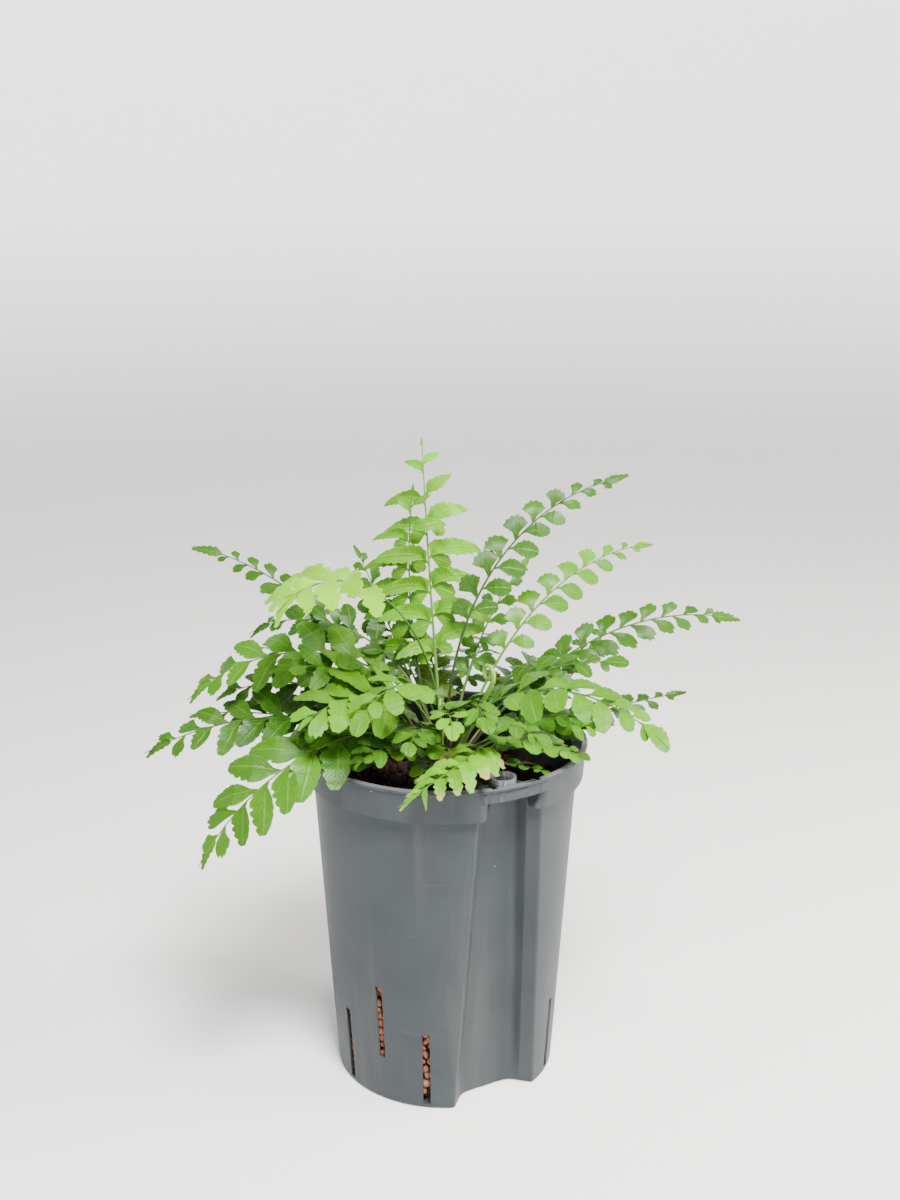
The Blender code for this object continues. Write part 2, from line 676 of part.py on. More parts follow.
def fiddlehead_sheets(fiddlehead):
    """A strip along a fiddlehead and one across it, wide enough to keep leaflets off it."""
    points, side = fiddlehead_line(fiddlehead)
    half = FIDDLEHEAD_STEM_RADIUS + CLEARANCE
    verts, faces = [], []
    for turned in (False, True):
        start = len(verts)
        for before, point, after in zip(points, points[1:], points[2:]):
            out = side.cross((after - before).normalized()) if turned else side
            verts += [point - out * half, point + out * half]
        for i in range(start, len(verts) - 2, 2):
            faces.append((i, i + 1, i + 3, i + 2))
    return verts, faces


def grow_fiddlehead(fiddlehead, parts, material):
    """A bevelled curve along the fiddlehead's line."""
    points, _ = fiddlehead_line(fiddlehead)
    curve = bpy.data.curves.new(fiddlehead.name, "CURVE")
    curve.dimensions = "3D"
    curve.bevel_depth = FIDDLEHEAD_STEM_RADIUS
    curve.bevel_resolution = 1
    curve.use_fill_caps = True
    spline = curve.splines.new("POLY")
    spline.points.add(len(points) - 1)
    for target, point in zip(spline.points, points):
        target.co = (*point, 1)
    curve.materials.append(material)
    parts.objects.link(bpy.data.objects.new(fiddlehead.name, curve))


def pot_surface():
    """The pot's skin without its ring and slots, as vertices and faces."""
    bm = loft(pot_rings())
    verts = [vert.co.copy() for vert in bm.verts]
    faces = [[vert.index for vert in face.verts] for face in bm.faces]
    bm.free()
    return verts, faces


def build_fern(parts, material):
    """All the fronds, each clear of those before it, and the fiddleheads."""
    thicket = Thicket()
    thicket.add("culture_pot", *pot_surface())
    for frond in FRONDS:
        thicket.add(frond.name, *stalk_sheets(frond))
    for fiddlehead in FIDDLEHEADS:
        thicket.add(fiddlehead.name, *fiddlehead_sheets(fiddlehead))
    for frond in FRONDS:
        grow_frond(frond, thicket, parts, material)
    for fiddlehead in FIDDLEHEADS:
        grow_fiddlehead(fiddlehead, parts, material)


def main():
    """Build the whole object."""
    clear_scene()
    parts = make_collection("potted_fern")
    cutters = make_collection("cutters")
    materials = {name: make_material(name) for name in COLOURS}
    build_pot(parts, cutters, materials["anthracite"])
    build_filling(parts, materials["fired_clay"], materials["crown_brown"])
    build_fern(parts, materials["leaf_green"])


main()
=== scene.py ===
"""The looks of a young fern in a slotted hydroculture pot.

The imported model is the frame.  The pot is its own moulding with softened edges.  Behind the
water slots and on top lie loose clay granules.  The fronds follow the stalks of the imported
model, and each one carries its own leaflets, pressed from a small set of leaf shapes.
"""
import logging
import math
import random
from collections.abc import Callable, Iterable, Iterator, Sequence
from contextlib import contextmanager
from dataclasses import dataclass, field
from enum import Enum

import bmesh
import bpy
from mathutils import Euler, Matrix, Vector
from mathutils.bvhtree import BVHTree


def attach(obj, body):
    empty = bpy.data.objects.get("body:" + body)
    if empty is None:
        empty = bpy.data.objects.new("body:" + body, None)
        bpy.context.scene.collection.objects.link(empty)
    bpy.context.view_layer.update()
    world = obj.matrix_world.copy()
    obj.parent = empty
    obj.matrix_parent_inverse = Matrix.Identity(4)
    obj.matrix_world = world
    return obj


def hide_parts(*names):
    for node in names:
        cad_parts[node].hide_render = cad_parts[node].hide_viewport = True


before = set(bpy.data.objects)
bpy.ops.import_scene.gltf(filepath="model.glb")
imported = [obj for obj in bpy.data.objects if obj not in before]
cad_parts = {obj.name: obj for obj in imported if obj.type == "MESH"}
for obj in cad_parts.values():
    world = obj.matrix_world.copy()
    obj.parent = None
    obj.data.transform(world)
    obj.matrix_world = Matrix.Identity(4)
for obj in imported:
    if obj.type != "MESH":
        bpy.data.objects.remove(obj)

log = logging.getLogger("fern")

MM = 0.001
ROOT = "root"
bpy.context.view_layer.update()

Colour = tuple[float, float, float]
Place = tuple[float, float, float]
Range = tuple[float, float]


# ---------------------------------------------------------------- shader kit

class Wire:
    """An output socket of a material, used in plain arithmetic."""

    def __init__(self, paint: "Paint", socket: bpy.types.NodeSocket) -> None:
        """Remember the socket and the material that it belongs to."""
        self.paint = paint
        self.socket = socket

    def _math(self, operation: str, first: "Wire | float", second: "Wire | float") -> "Wire":
        """Add one Math node.

        Args:
            operation: the Math node's operation.
            first: its first value.
            second: its second value.

        Returns:
            The result.
        """
        return self.paint.node("ShaderNodeMath", {"operation": operation}, {0: first, 1: second})

    def __add__(self, other: "Wire | float") -> "Wire":
        """Sum."""
        return self._math("ADD", self, other)

    __radd__ = __add__

    def __mul__(self, other: "Wire | float") -> "Wire":
        """Product."""
        return self._math("MULTIPLY", self, other)

    __rmul__ = __mul__

    def __sub__(self, other: "Wire | float") -> "Wire":
        """Difference."""
        return self._math("SUBTRACT", self, other)

    def __rsub__(self, other: float) -> "Wire":
        """A number less this value."""
        return self._math("SUBTRACT", other, self)

    def sine(self) -> "Wire":
        """Sine of this value."""
        return self._math("SINE", self, 0.0)

    def distance_to(self, other: float) -> "Wire":
        """How far this value is from a number."""
        return self._math("ABSOLUTE", self - other, 0.0)


class Paint:
    """A material under construction, with one method for each kind of step."""

    def __init__(self, name: str, roughness: float, **constants: float | Colour) -> None:
        """Start a Principled material.

        Args:
            name: the material's name.
            roughness: its even roughness.
            constants: values for the shader's own sockets, with underscores for spaces.
        """
        self.material = bpy.data.materials.new(name)
        self.material.use_nodes = True
        self.tree = self.material.node_tree
        self.shader = self.tree.nodes["Principled BSDF"]
        self.shader.inputs["Roughness"].default_value = roughness
        for key, value in constants.items():
            self.shader.inputs[key.replace("_", " ")].default_value = value

    def node(self, kind: str, settings: dict, sockets: dict, output: int | str = 0) -> Wire:
        """Add any node.

        Args:
            kind: the node's type.
            settings: its properties, set before its sockets; "stops" fills a colour ramp.
            sockets: values or wires by socket name or number.
            output: which output to return.

        Returns:
            The chosen output.
        """
        made = self.tree.nodes.new(kind)
        for key, value in settings.items():
            if key == "stops":
                self._fill_ramp(made, value)
            else:
                setattr(made, key, value)
        for key, value in sockets.items():
            if isinstance(value, Wire):
                self.tree.links.new(value.socket, made.inputs[key])
            else:
                made.inputs[key].default_value = value
        return Wire(self, made.outputs[output])

    @staticmethod
    def _fill_ramp(made: bpy.types.Node, stops: Sequence[tuple[float, Colour]]) -> None:
        """Give a colour ramp its stops.

        Args:
            made: the ColorRamp node.
            stops: each stop's place and colour, in order.
        """
        ramp = made.color_ramp
        while len(ramp.elements) < len(stops):
            ramp.elements.new(1.0)
        for element, (place, colour) in zip(ramp.elements, stops):
            element.position = place
            element.color = (*colour, 1)

    def coords(self, stretch: Place | None = None) -> Wire:
        """Object coordinates, each axis multiplied when a stretch is given.

        Args:
            stretch: what each axis is multiplied by.

        Returns:
            The coordinates, in metres where nothing is stretched.
        """
        plain = self.node("ShaderNodeTexCoord", {}, {}, "Object")
        if stretch is None:
            return plain
        return self.node("ShaderNodeMapping", {}, {"Vector": plain, "Scale": stretch})

    def axis(self, letter: str, of: Wire | None = None) -> Wire:
        """The X, Y or Z of a vector, or else of the object coordinates."""
        return self.node("ShaderNodeSeparateXYZ", {}, {"Vector": of or self.coords()}, letter)

    def attribute(self, name: str, output: str = "Fac") -> Wire:
        """An attribute that the mesh carries."""
        return self.node("ShaderNodeAttribute", {"attribute_name": name}, {}, output)

    def noise(self, scale: float, detail: float = 3, rough: float = 0.55,
              stretch: Place | None = None) -> Wire:
        """Noise on object coordinates.

        Args:
            scale: lumps per metre, or per unit of the stretched coordinates.
            detail: how many finer layers it has.
            rough: how strong the finer layers are.
            stretch: what each axis is multiplied by first.

        Returns:
            The noise, about 0.5 on average.
        """
        sockets = {"Vector": self.coords(stretch), "Scale": scale, "Detail": detail,
                   "Roughness": rough}
        return self.node("ShaderNodeTexNoise", {}, sockets)

    def cells(self, scale: float) -> Wire:
        """The distance to the nearest of scattered points, so many to the metre."""
        sockets = {"Vector": self.coords(), "Scale": scale, "Randomness": 1.0}
        return self.node("ShaderNodeTexVoronoi", {}, sockets, "Distance")

    def ramp(self, value: Wire, *stops: tuple[float, Colour]) -> Wire:
        """A colour ramp over a value."""
        return self.node("ShaderNodeValToRGB", {"stops": stops}, {"Fac": value})

    def band(self, value: Wire, low: float, high: float) -> Wire:
        """A value stretched so that low gives zero and high gives one, clamped."""
        sockets = {"Value": value, "From Min": low, "From Max": high, "To Min": 0.0, "To Max": 1.0}
        return self.node("ShaderNodeMapRange", {"clamp": True}, sockets)

    def blend(self, share: Wire | float, under: Wire | Colour, over: Wire | Colour,
              how: str = "MIX") -> Wire:
        """Mix two colours.

        Args:
            share: how much of the second colour.
            under: the first colour.
            over: the second colour.
            how: the Mix node's blend type.

        Returns:
            The mixed colour.
        """
        settings = {"data_type": "RGBA", "blend_type": how}
        colours = [c if isinstance(c, Wire) else (*c, 1) for c in (under, over)]
        return self.node("ShaderNodeMix", settings, {0: share, 6: colours[0], 7: colours[1]}, 2)

    def bump(self, height: Wire, distance: float, strength: float = 1.0,
             below: Wire | None = None) -> Wire:
        """A Bump node, stacked on another when one is given.

        Args:
            height: the relief, whose rise of one is a distance.
            distance: that distance, in metres.
            strength: how much of the relief is used.
            below: the normal that it is stacked on.

        Returns:
            The normal.
        """
        sockets = {"Height": height, "Distance": distance, "Strength": strength}
        if below:
            sockets["Normal"] = below
        return self.node("ShaderNodeBump", {}, sockets)

    def feed(self, **wires: Wire) -> None:
        """Connect wires to the shader's sockets, with underscores for spaces."""
        for key, wire in wires.items():
            self.tree.links.new(wire.socket, self.shader.inputs[key.replace("_", " ")])


# ---------------------------------------------------------------- finishes

@dataclass(frozen=True)
class PotFinish:
    """Dark grey moulded plastic with fine grain, pale specks, drip marks, scuffs and a rim band
    lightened partly by wear and partly by a painted highlight.

    Scales are lumps per metre.  A share is how much of its colour a mark adds at most, and each
    range says from which value of its noise a mark begins and where it is complete.  The rim band's
    range is a pair of heights just under the rim's top, where the colour is partly wear and
    partly a painted highlight.
    """

    base: Colour = (0.031, 0.037, 0.042)
    light: Colour = (0.046, 0.053, 0.057)
    dust: Colour = (0.115, 0.108, 0.094)
    # lighter rim band: partly wear, partly a painted highlight
    rim_wear_highlight: Colour = (0.150, 0.156, 0.156)
    speck: Colour = (0.55, 0.55, 0.53)
    cloud_scale: float = 14
    grain_scale: float = 900
    grain_depth: float = 0.08 * MM
    wave_depth: float = 0.6 * MM
    streak_stretch: Place = (60, 60, 5)
    streak_range: Range = (0.56, 0.80)
    streak_share: float = 0.28
    speck_cells: float = 150
    speck_range: Range = (0.03, 0.075)
    speck_share: float = 0.75
    scuff_stretch: Place = (25, 25, 240)
    scuff_range: Range = (0.70, 0.76)
    scuff_share: float = 0.12
    rim_wear_highlight_range: Range = (189.3 * MM, 189.9 * MM)

    def make(self) -> bpy.types.Material:
        """Build the material.

        Returns:
            The material.
        """
        paint = Paint("pot_plastic", 0.50, Specular_IOR_Level=0.20)
        cloud = paint.noise(self.cloud_scale, 4, 0.6)
        grain = paint.noise(self.grain_scale, 2, 0.5)
        body = paint.blend(paint.band(cloud, 0.35, 0.72), self.base, self.light)
        streaks = paint.noise(1.0, 4, 0.5, self.streak_stretch)
        streak = paint.band(streaks, *self.streak_range)
        body = paint.blend(streak * self.streak_share, body, self.dust)
        here_and_there = paint.band(paint.noise(70, 1), 0.62, 0.66)
        speck = (1 - paint.band(paint.cells(self.speck_cells), *self.speck_range)) * here_and_there
        body = paint.blend(speck * self.speck_share, body, self.speck)
        scuffs = paint.noise(1.4, 2, 0.5, self.scuff_stretch)
        scuff = paint.band(scuffs, *self.scuff_range)
        body = paint.blend(scuff * self.scuff_share, body, self.dust)
        # painted highlight and wear: a lighter band just under the rim's top
        rim_highlight_band = paint.band(paint.axis("Z"), *self.rim_wear_highlight_range)
        body = paint.blend(rim_highlight_band * (0.25 + cloud * 0.5), body, self.rim_wear_highlight)
        relief = paint.bump(grain, self.grain_depth, 0.6)
        relief = paint.bump(cloud, self.wave_depth, 0.25, relief)
        rough = paint.band(cloud, 0.2, 0.9) * 0.14 + 0.44 + speck * 0.3
        paint.feed(Base_Color=body, Roughness=rough, Normal=relief)
        return paint.material


@dataclass(frozen=True)
class LeafFinish:
    """Satin fern leaf: the leaflet's own tint, clouded, with veins, a paler rim and old spots.

    Veins branch off the midrib of most leaflets, and spread from the base of a fan.  Scales are
    lumps per metre, and a share is how much of its colour a mark adds at most.
    """

    vein: Colour = (0.20, 0.43, 0.04)
    underside: Colour = (0.085, 0.20, 0.025)
    rust: Colour = (0.22, 0.13, 0.045)
    shadow: Colour = (0.55, 0.62, 0.40)
    vein_count: float = 11.0
    vein_slant: float = 0.55
    vein_share: float = 0.12
    midrib_share: float = 0.20
    rim_share: float = 0.14
    cloud_scale: float = 85
    cloud_share: float = 0.30
    patch_scale: float = 420
    patch_share: float = 0.16
    under_share: float = 0.38
    rust_scale: float = 300
    rust_share: float = 0.22
    vein_depth: float = 0.22 * MM
    patch_depth: float = 0.18 * MM

    def make(self) -> bpy.types.Material:
        """Build the material.

        Returns:
            The material.
        """
        paint = Paint("fern_leaf", 0.42, Subsurface_Weight=0.15, Subsurface_Scale=1 * MM,
                      Subsurface_Radius=(0.35, 1.0, 0.10), Specular_IOR_Level=0.23)
        tint = paint.attribute("tint", "Color")
        blade = paint.attribute("blade")
        fan = paint.attribute("fan")
        under = paint.attribute("under")
        place = paint.node("ShaderNodeUVMap", {"uv_map": "UVMap"}, {})
        across = paint.axis("X", place)
        outwards = paint.axis("Y", place)
        aside = across.distance_to(0.5) * 2

        turns = 2 * math.pi * self.vein_count
        pinnate = ((outwards - aside * self.vein_slant * 0.5) * turns).sine()
        radiate = (across * turns * 0.9).sine()
        vein = paint.band(pinnate * (1 - fan) + radiate * fan, 0.55, 1.0)
        midrib = (1 - paint.band(aside, 0.03, 0.13)) * (1 - fan)
        rim = paint.band(aside, 0.86, 1.0) * (1 - fan) + paint.band(outwards, 0.90, 1.0) * fan
        lines = vein * self.vein_share + midrib * self.midrib_share + rim * self.rim_share

        cloud = paint.noise(self.cloud_scale, 4, 0.6)
        patch = paint.noise(self.patch_scale, 3, 0.6)
        shaded = paint.band(cloud, 0.3, 0.7) * self.cloud_share
        colour = paint.blend(shaded, tint, self.shadow, "MULTIPLY")
        colour = paint.blend(paint.band(patch, 0.5, 0.85) * self.patch_share, colour, self.vein)
        colour = paint.blend(lines * blade, colour, self.vein)
        colour = paint.blend(under * blade * self.under_share, colour, self.underside)
        spots = paint.band(paint.noise(self.rust_scale, 2), 0.70, 0.78) * blade
        colour = paint.blend(spots * self.rust_share, colour, self.rust)
        relief = paint.bump(vein * -1.0 + midrib * 1.6, self.vein_depth, 0.55)
        relief = paint.bump(patch, self.patch_depth, 0.35, relief)
        rough = paint.band(cloud, 0.2, 0.8) * 0.14 + 0.32 + under * 0.16
        paint.feed(Base_Color=colour, Roughness=rough, Normal=relief)
        return paint.material


@dataclass(frozen=True)
class GranuleFinish:
    """Fired clay: each granule's own tint, pitted and dusty, with scales per metre."""

    dust: Colour = (2.0, 1.9, 1.9)
    dust_share: float = 0.6
    lump_scale: float = 380
    pit: Colour = (0.045, 0.018, 0.010)
    pit_share: float = 0.65
    pit_cells: float = 900
    grain_scale: float = 1100
    grain_depth: float = 0.4 * MM

    def make(self) -> bpy.types.Material:
        """Build the material.

        Returns:
            The material.
        """
        paint = Paint("fired_clay", 0.88, Specular_IOR_Level=0.25)
        tint = paint.attribute("tint", "Color")
        grain = paint.noise(self.grain_scale, 4, 0.65)
        lumps = paint.noise(self.lump_scale, 3, 0.6)
        pit = 1 - paint.band(paint.cells(self.pit_cells), 0.10, 0.34)
        dusty = paint.band(lumps, 0.40, 0.75) * self.dust_share
        colour = paint.blend(dusty, tint, self.dust, "MULTIPLY")
        colour = paint.blend(pit * self.pit_share, colour, self.pit)
        relief = paint.bump(grain - pit * 0.8, self.grain_depth, 0.8)
        paint.feed(Base_Color=colour, Normal=relief, Roughness=0.95 - grain * 0.2)
        return paint.material


@dataclass(frozen=True)
class CoreShadeFinish:
    """The dark between the granules: painted shade over a crumbly texture."""

    dark: Colour = (0.012, 0.007, 0.004)
    light: Colour = (0.055, 0.028, 0.014)
    crumb_scale: float = 500
    crumb_depth: float = 1.2 * MM

    def make(self) -> bpy.types.Material:
        """Build the material.

        Returns:
            The material.
        """
        paint = Paint("granule_core", 0.95)
        crumbs = paint.noise(self.crumb_scale, 5, 0.7)
        # painted shade: a dark crumbly colour for the gaps between the granules
        colour = paint.ramp(crumbs, (0.35, self.dark), (0.75, self.light))
        paint.feed(Base_Color=colour, Normal=paint.bump(crumbs, self.crumb_depth, 0.8))
        return paint.material


@dataclass(frozen=True)
class CrownFinish:
    """Brown rhizome with darker scales and upright fibres."""

    dark: Colour = (0.009, 0.005, 0.003)
    light: Colour = (0.050, 0.027, 0.012)
    fibre_stretch: Place = (900, 900, 420)
    fibre_depth: float = 0.8 * MM
    lump_scale: float = 260

    def make(self) -> bpy.types.Material:
        """Build the material.

        Returns:
            The material.
        """
        paint = Paint("crown_scales", 0.82)
        fibre = paint.noise(1.0, 4, 0.5, self.fibre_stretch)
        lumps = paint.noise(self.lump_scale, 3)
        colour = paint.ramp(fibre * 0.6 + lumps * 0.4, (0.34, self.dark), (0.66, self.light))
        paint.feed(Base_Color=colour, Normal=paint.bump(fibre, self.fibre_depth, 0.9))
        return paint.material


@dataclass(frozen=True)
class FloorFinish:
    """Plain pale floor of a studio, whose wall glows low down and less on the left.

    Heights are in metres on the wall: the glow grows over the first range and fades over the
    second.  shade_range runs from the wall's dim side to its bright one.
    """

    colour: Colour = (0.88, 0.88, 0.88)
    glow: float = 1.5
    glow_range: Range = (-0.06, 0.42)
    fade_range: Range = (1.0, 1.5)
    shade_range: Range = (-0.9, 0.3)
    dimmest: float = 0.15

    def make(self) -> bpy.types.Material:
        """Build the material.

        Returns:
            The material.
        """
        paint = Paint("studio_floor", 0.75, Base_Color=(*self.colour, 1), Specular_IOR_Level=0.2,
                      Emission_Strength=self.glow)
        up = paint.axis("Z")
        low = paint.band(up, *self.glow_range)
        high = paint.band(up, *self.fade_range)
        bright_side = paint.band(paint.axis("X") * 0.8 + paint.axis("Y") * 0.6, *self.shade_range)
        lit = bright_side * (1 - self.dimmest) + self.dimmest
        paint.feed(Emission_Color=paint.blend(low * (1 - high) * lit, (0, 0, 0), (1, 1, 1)))
        return paint.material


# ---------------------------------------------------------------- bench tools

def pick_only(*things: bpy.types.Object) -> None:
    """Select these objects alone, the first one active.

    Args:
        things: the objects, at least one.
    """
    bpy.ops.object.select_all(action="DESELECT")
    for thing in things:
        thing.select_set(True)
    bpy.context.view_layer.objects.active = things[0]


def pick_verts(thing: bpy.types.Object, wanted: Callable[[Vector], bool]) -> None:
    """In edit mode, select the vertices whose place is wanted.

    Args:
        thing: the object in edit mode.
        wanted: says for a vertex's place whether it is selected.
    """
    bm = bmesh.from_edit_mesh(thing.data)
    for vert in bm.verts:
        vert.select = wanted(vert.co)
    bm.select_flush(True)
    bm.select_flush(False)
    bmesh.update_edit_mesh(thing.data)


@contextmanager
def editing(thing: bpy.types.Object) -> Iterator[None]:
    """Edit one object's mesh, with all of it selected at the start.

    Args:
        thing: the object.

    Yields:
        Nothing, while the object is in edit mode.
    """
    pick_only(thing)
    bpy.ops.object.mode_set(mode="EDIT")
    bpy.ops.mesh.select_all(action="SELECT")
    yield
    bpy.ops.object.mode_set(mode="OBJECT")


def finish_modifiers(thing: bpy.types.Object) -> None:
    """Apply all of an object's modifiers in order.

    Args:
        thing: the object.
    """
    pick_only(thing)
    for modifier in list(thing.modifiers):
        bpy.ops.object.modifier_apply(modifier=modifier.name)


def smooth(thing: bpy.types.Object, degrees: float) -> None:
    """Shade an object smooth, with edges sharper than an angle kept."""
    pick_only(thing)
    bpy.ops.object.shade_smooth_by_angle(angle=math.radians(degrees))


def stamp(mesh: bpy.types.Mesh, name: str, value: float) -> None:
    """Give every vertex the same value under a name."""
    layer = mesh.attributes.get(name) or mesh.attributes.new(name, "FLOAT", "POINT")
    layer.data.foreach_set("value", [value] * len(mesh.vertices))


def stamp_tint(mesh: bpy.types.Mesh, colour: Colour) -> None:
    """Give every vertex the same tint."""
    layer = mesh.attributes.get("tint") or mesh.attributes.new("tint", "FLOAT_COLOR", "POINT")
    layer.data.foreach_set("color", [*colour, 1.0] * len(mesh.vertices))


def copy_of(thing: bpy.types.Object, name: str) -> bpy.types.Object:
    """A copy with its own mesh, linked to the scene.

    Args:
        thing: the object that is copied.
        name: the copy's name.

    Returns:
        The copy.
    """
    twin = thing.copy()
    twin.data = thing.data.copy()
    twin.name = name
    bpy.context.scene.collection.objects.link(twin)
    return twin


def add_to_scene(name: str, mesh: bpy.types.Mesh) -> bpy.types.Object:
    """A new object in the scene that shows a mesh.

    Args:
        name: the object's name.
        mesh: the mesh.

    Returns:
        The object.
    """
    thing = bpy.data.objects.new(name, mesh)
    bpy.context.scene.collection.objects.link(thing)
    return thing


def join_as(name: str, parts: list[bpy.types.Object]) -> bpy.types.Object:
    """Join parts into one object at the origin and name it.

    Args:
        name: the whole's name.
        parts: the objects, which the whole takes up.

    Returns:
        The whole.
    """
    pick_only(*parts)
    if len(parts) > 1:
        bpy.ops.object.join()
    whole = bpy.context.view_layer.objects.active
    whole.name = name
    whole.data.name = name
    return whole


FLAT_ANGLE = math.radians(0.4)
WELD = 0.001 * MM


def from_node(name: str, piece: str, weld: float = 2 * WELD) -> bpy.types.Object:
    """Copy a CAD node's mesh as a new piece, with its loose triangles merged.

    Args:
        name: the CAD node.
        piece: the new piece's name.
        weld: how near two corners lie that are made one.

    Returns:
        The piece, with no material.
    """
    twin = copy_of(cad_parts[name], piece)
    for key in list(twin.keys()):
        del twin[key]
    twin.parent = None
    twin.matrix_world = Matrix.Identity(4)
    twin.data.materials.clear()
    with editing(twin):
        bpy.ops.mesh.remove_doubles(threshold=weld)
        bpy.ops.mesh.dissolve_limited(angle_limit=FLAT_ANGLE)
    return twin


def tube(name: str, points: Sequence[Vector], radii: Sequence[float], thickness: float,
         resolution: int) -> bpy.types.Object:
    """A closed tube along a path.

    Args:
        name: the new object's name.
        points: the path's corners.
        radii: the tube's radius at each corner, as a share of its thickness.
        thickness: the radius that a share of one stands for.
        resolution: how finely its section is rounded.

    Returns:
        The tube as a mesh, with no material.
    """
    curve = bpy.data.curves.new(name, "CURVE")
    curve.dimensions = "3D"
    curve.bevel_depth = thickness
    curve.bevel_resolution = resolution
    curve.use_fill_caps = True
    spline = curve.splines.new("POLY")
    spline.points.add(len(points) - 1)
    for target, point, radius in zip(spline.points, points, radii):
        target.co = (*point, 1)
        target.radius = radius
    made = bpy.data.objects.new(name, curve)
    bpy.context.scene.collection.objects.link(made)
    pick_only(made)
    bpy.ops.object.convert(target="MESH")
    made = bpy.context.view_layer.objects.active
    with editing(made):
        bpy.ops.mesh.remove_doubles(threshold=WELD)
        bpy.ops.mesh.normals_make_consistent(inside=False)
    return made


def settle(piece: bpy.types.Object, slot: str, *nodes: str) -> None:
    """Ride the root body and stand for CAD nodes.

    Args:
        piece: the finished object.
        slot: its material slot, not used.
        nodes: the CAD nodes that it stands for.
    """
    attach(piece, ROOT)
    if nodes:
        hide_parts(*nodes)
    log.info("%s: %d faces", piece.name, len(piece.data.polygons))


# ---------------------------------------------------------------- leaf shapes

class Leaf(Enum):
    """The kinds of leaflet that the fern bears."""

    BLADE = "blade"
    SICKLE = "sickle"
    LANCE = "lance"
    OVAL = "oval"
    EAR = "ear"
    WEDGE = "wedge"
    FAN = "fan"
    LOBED = "lobed"
    TIP = "tip"


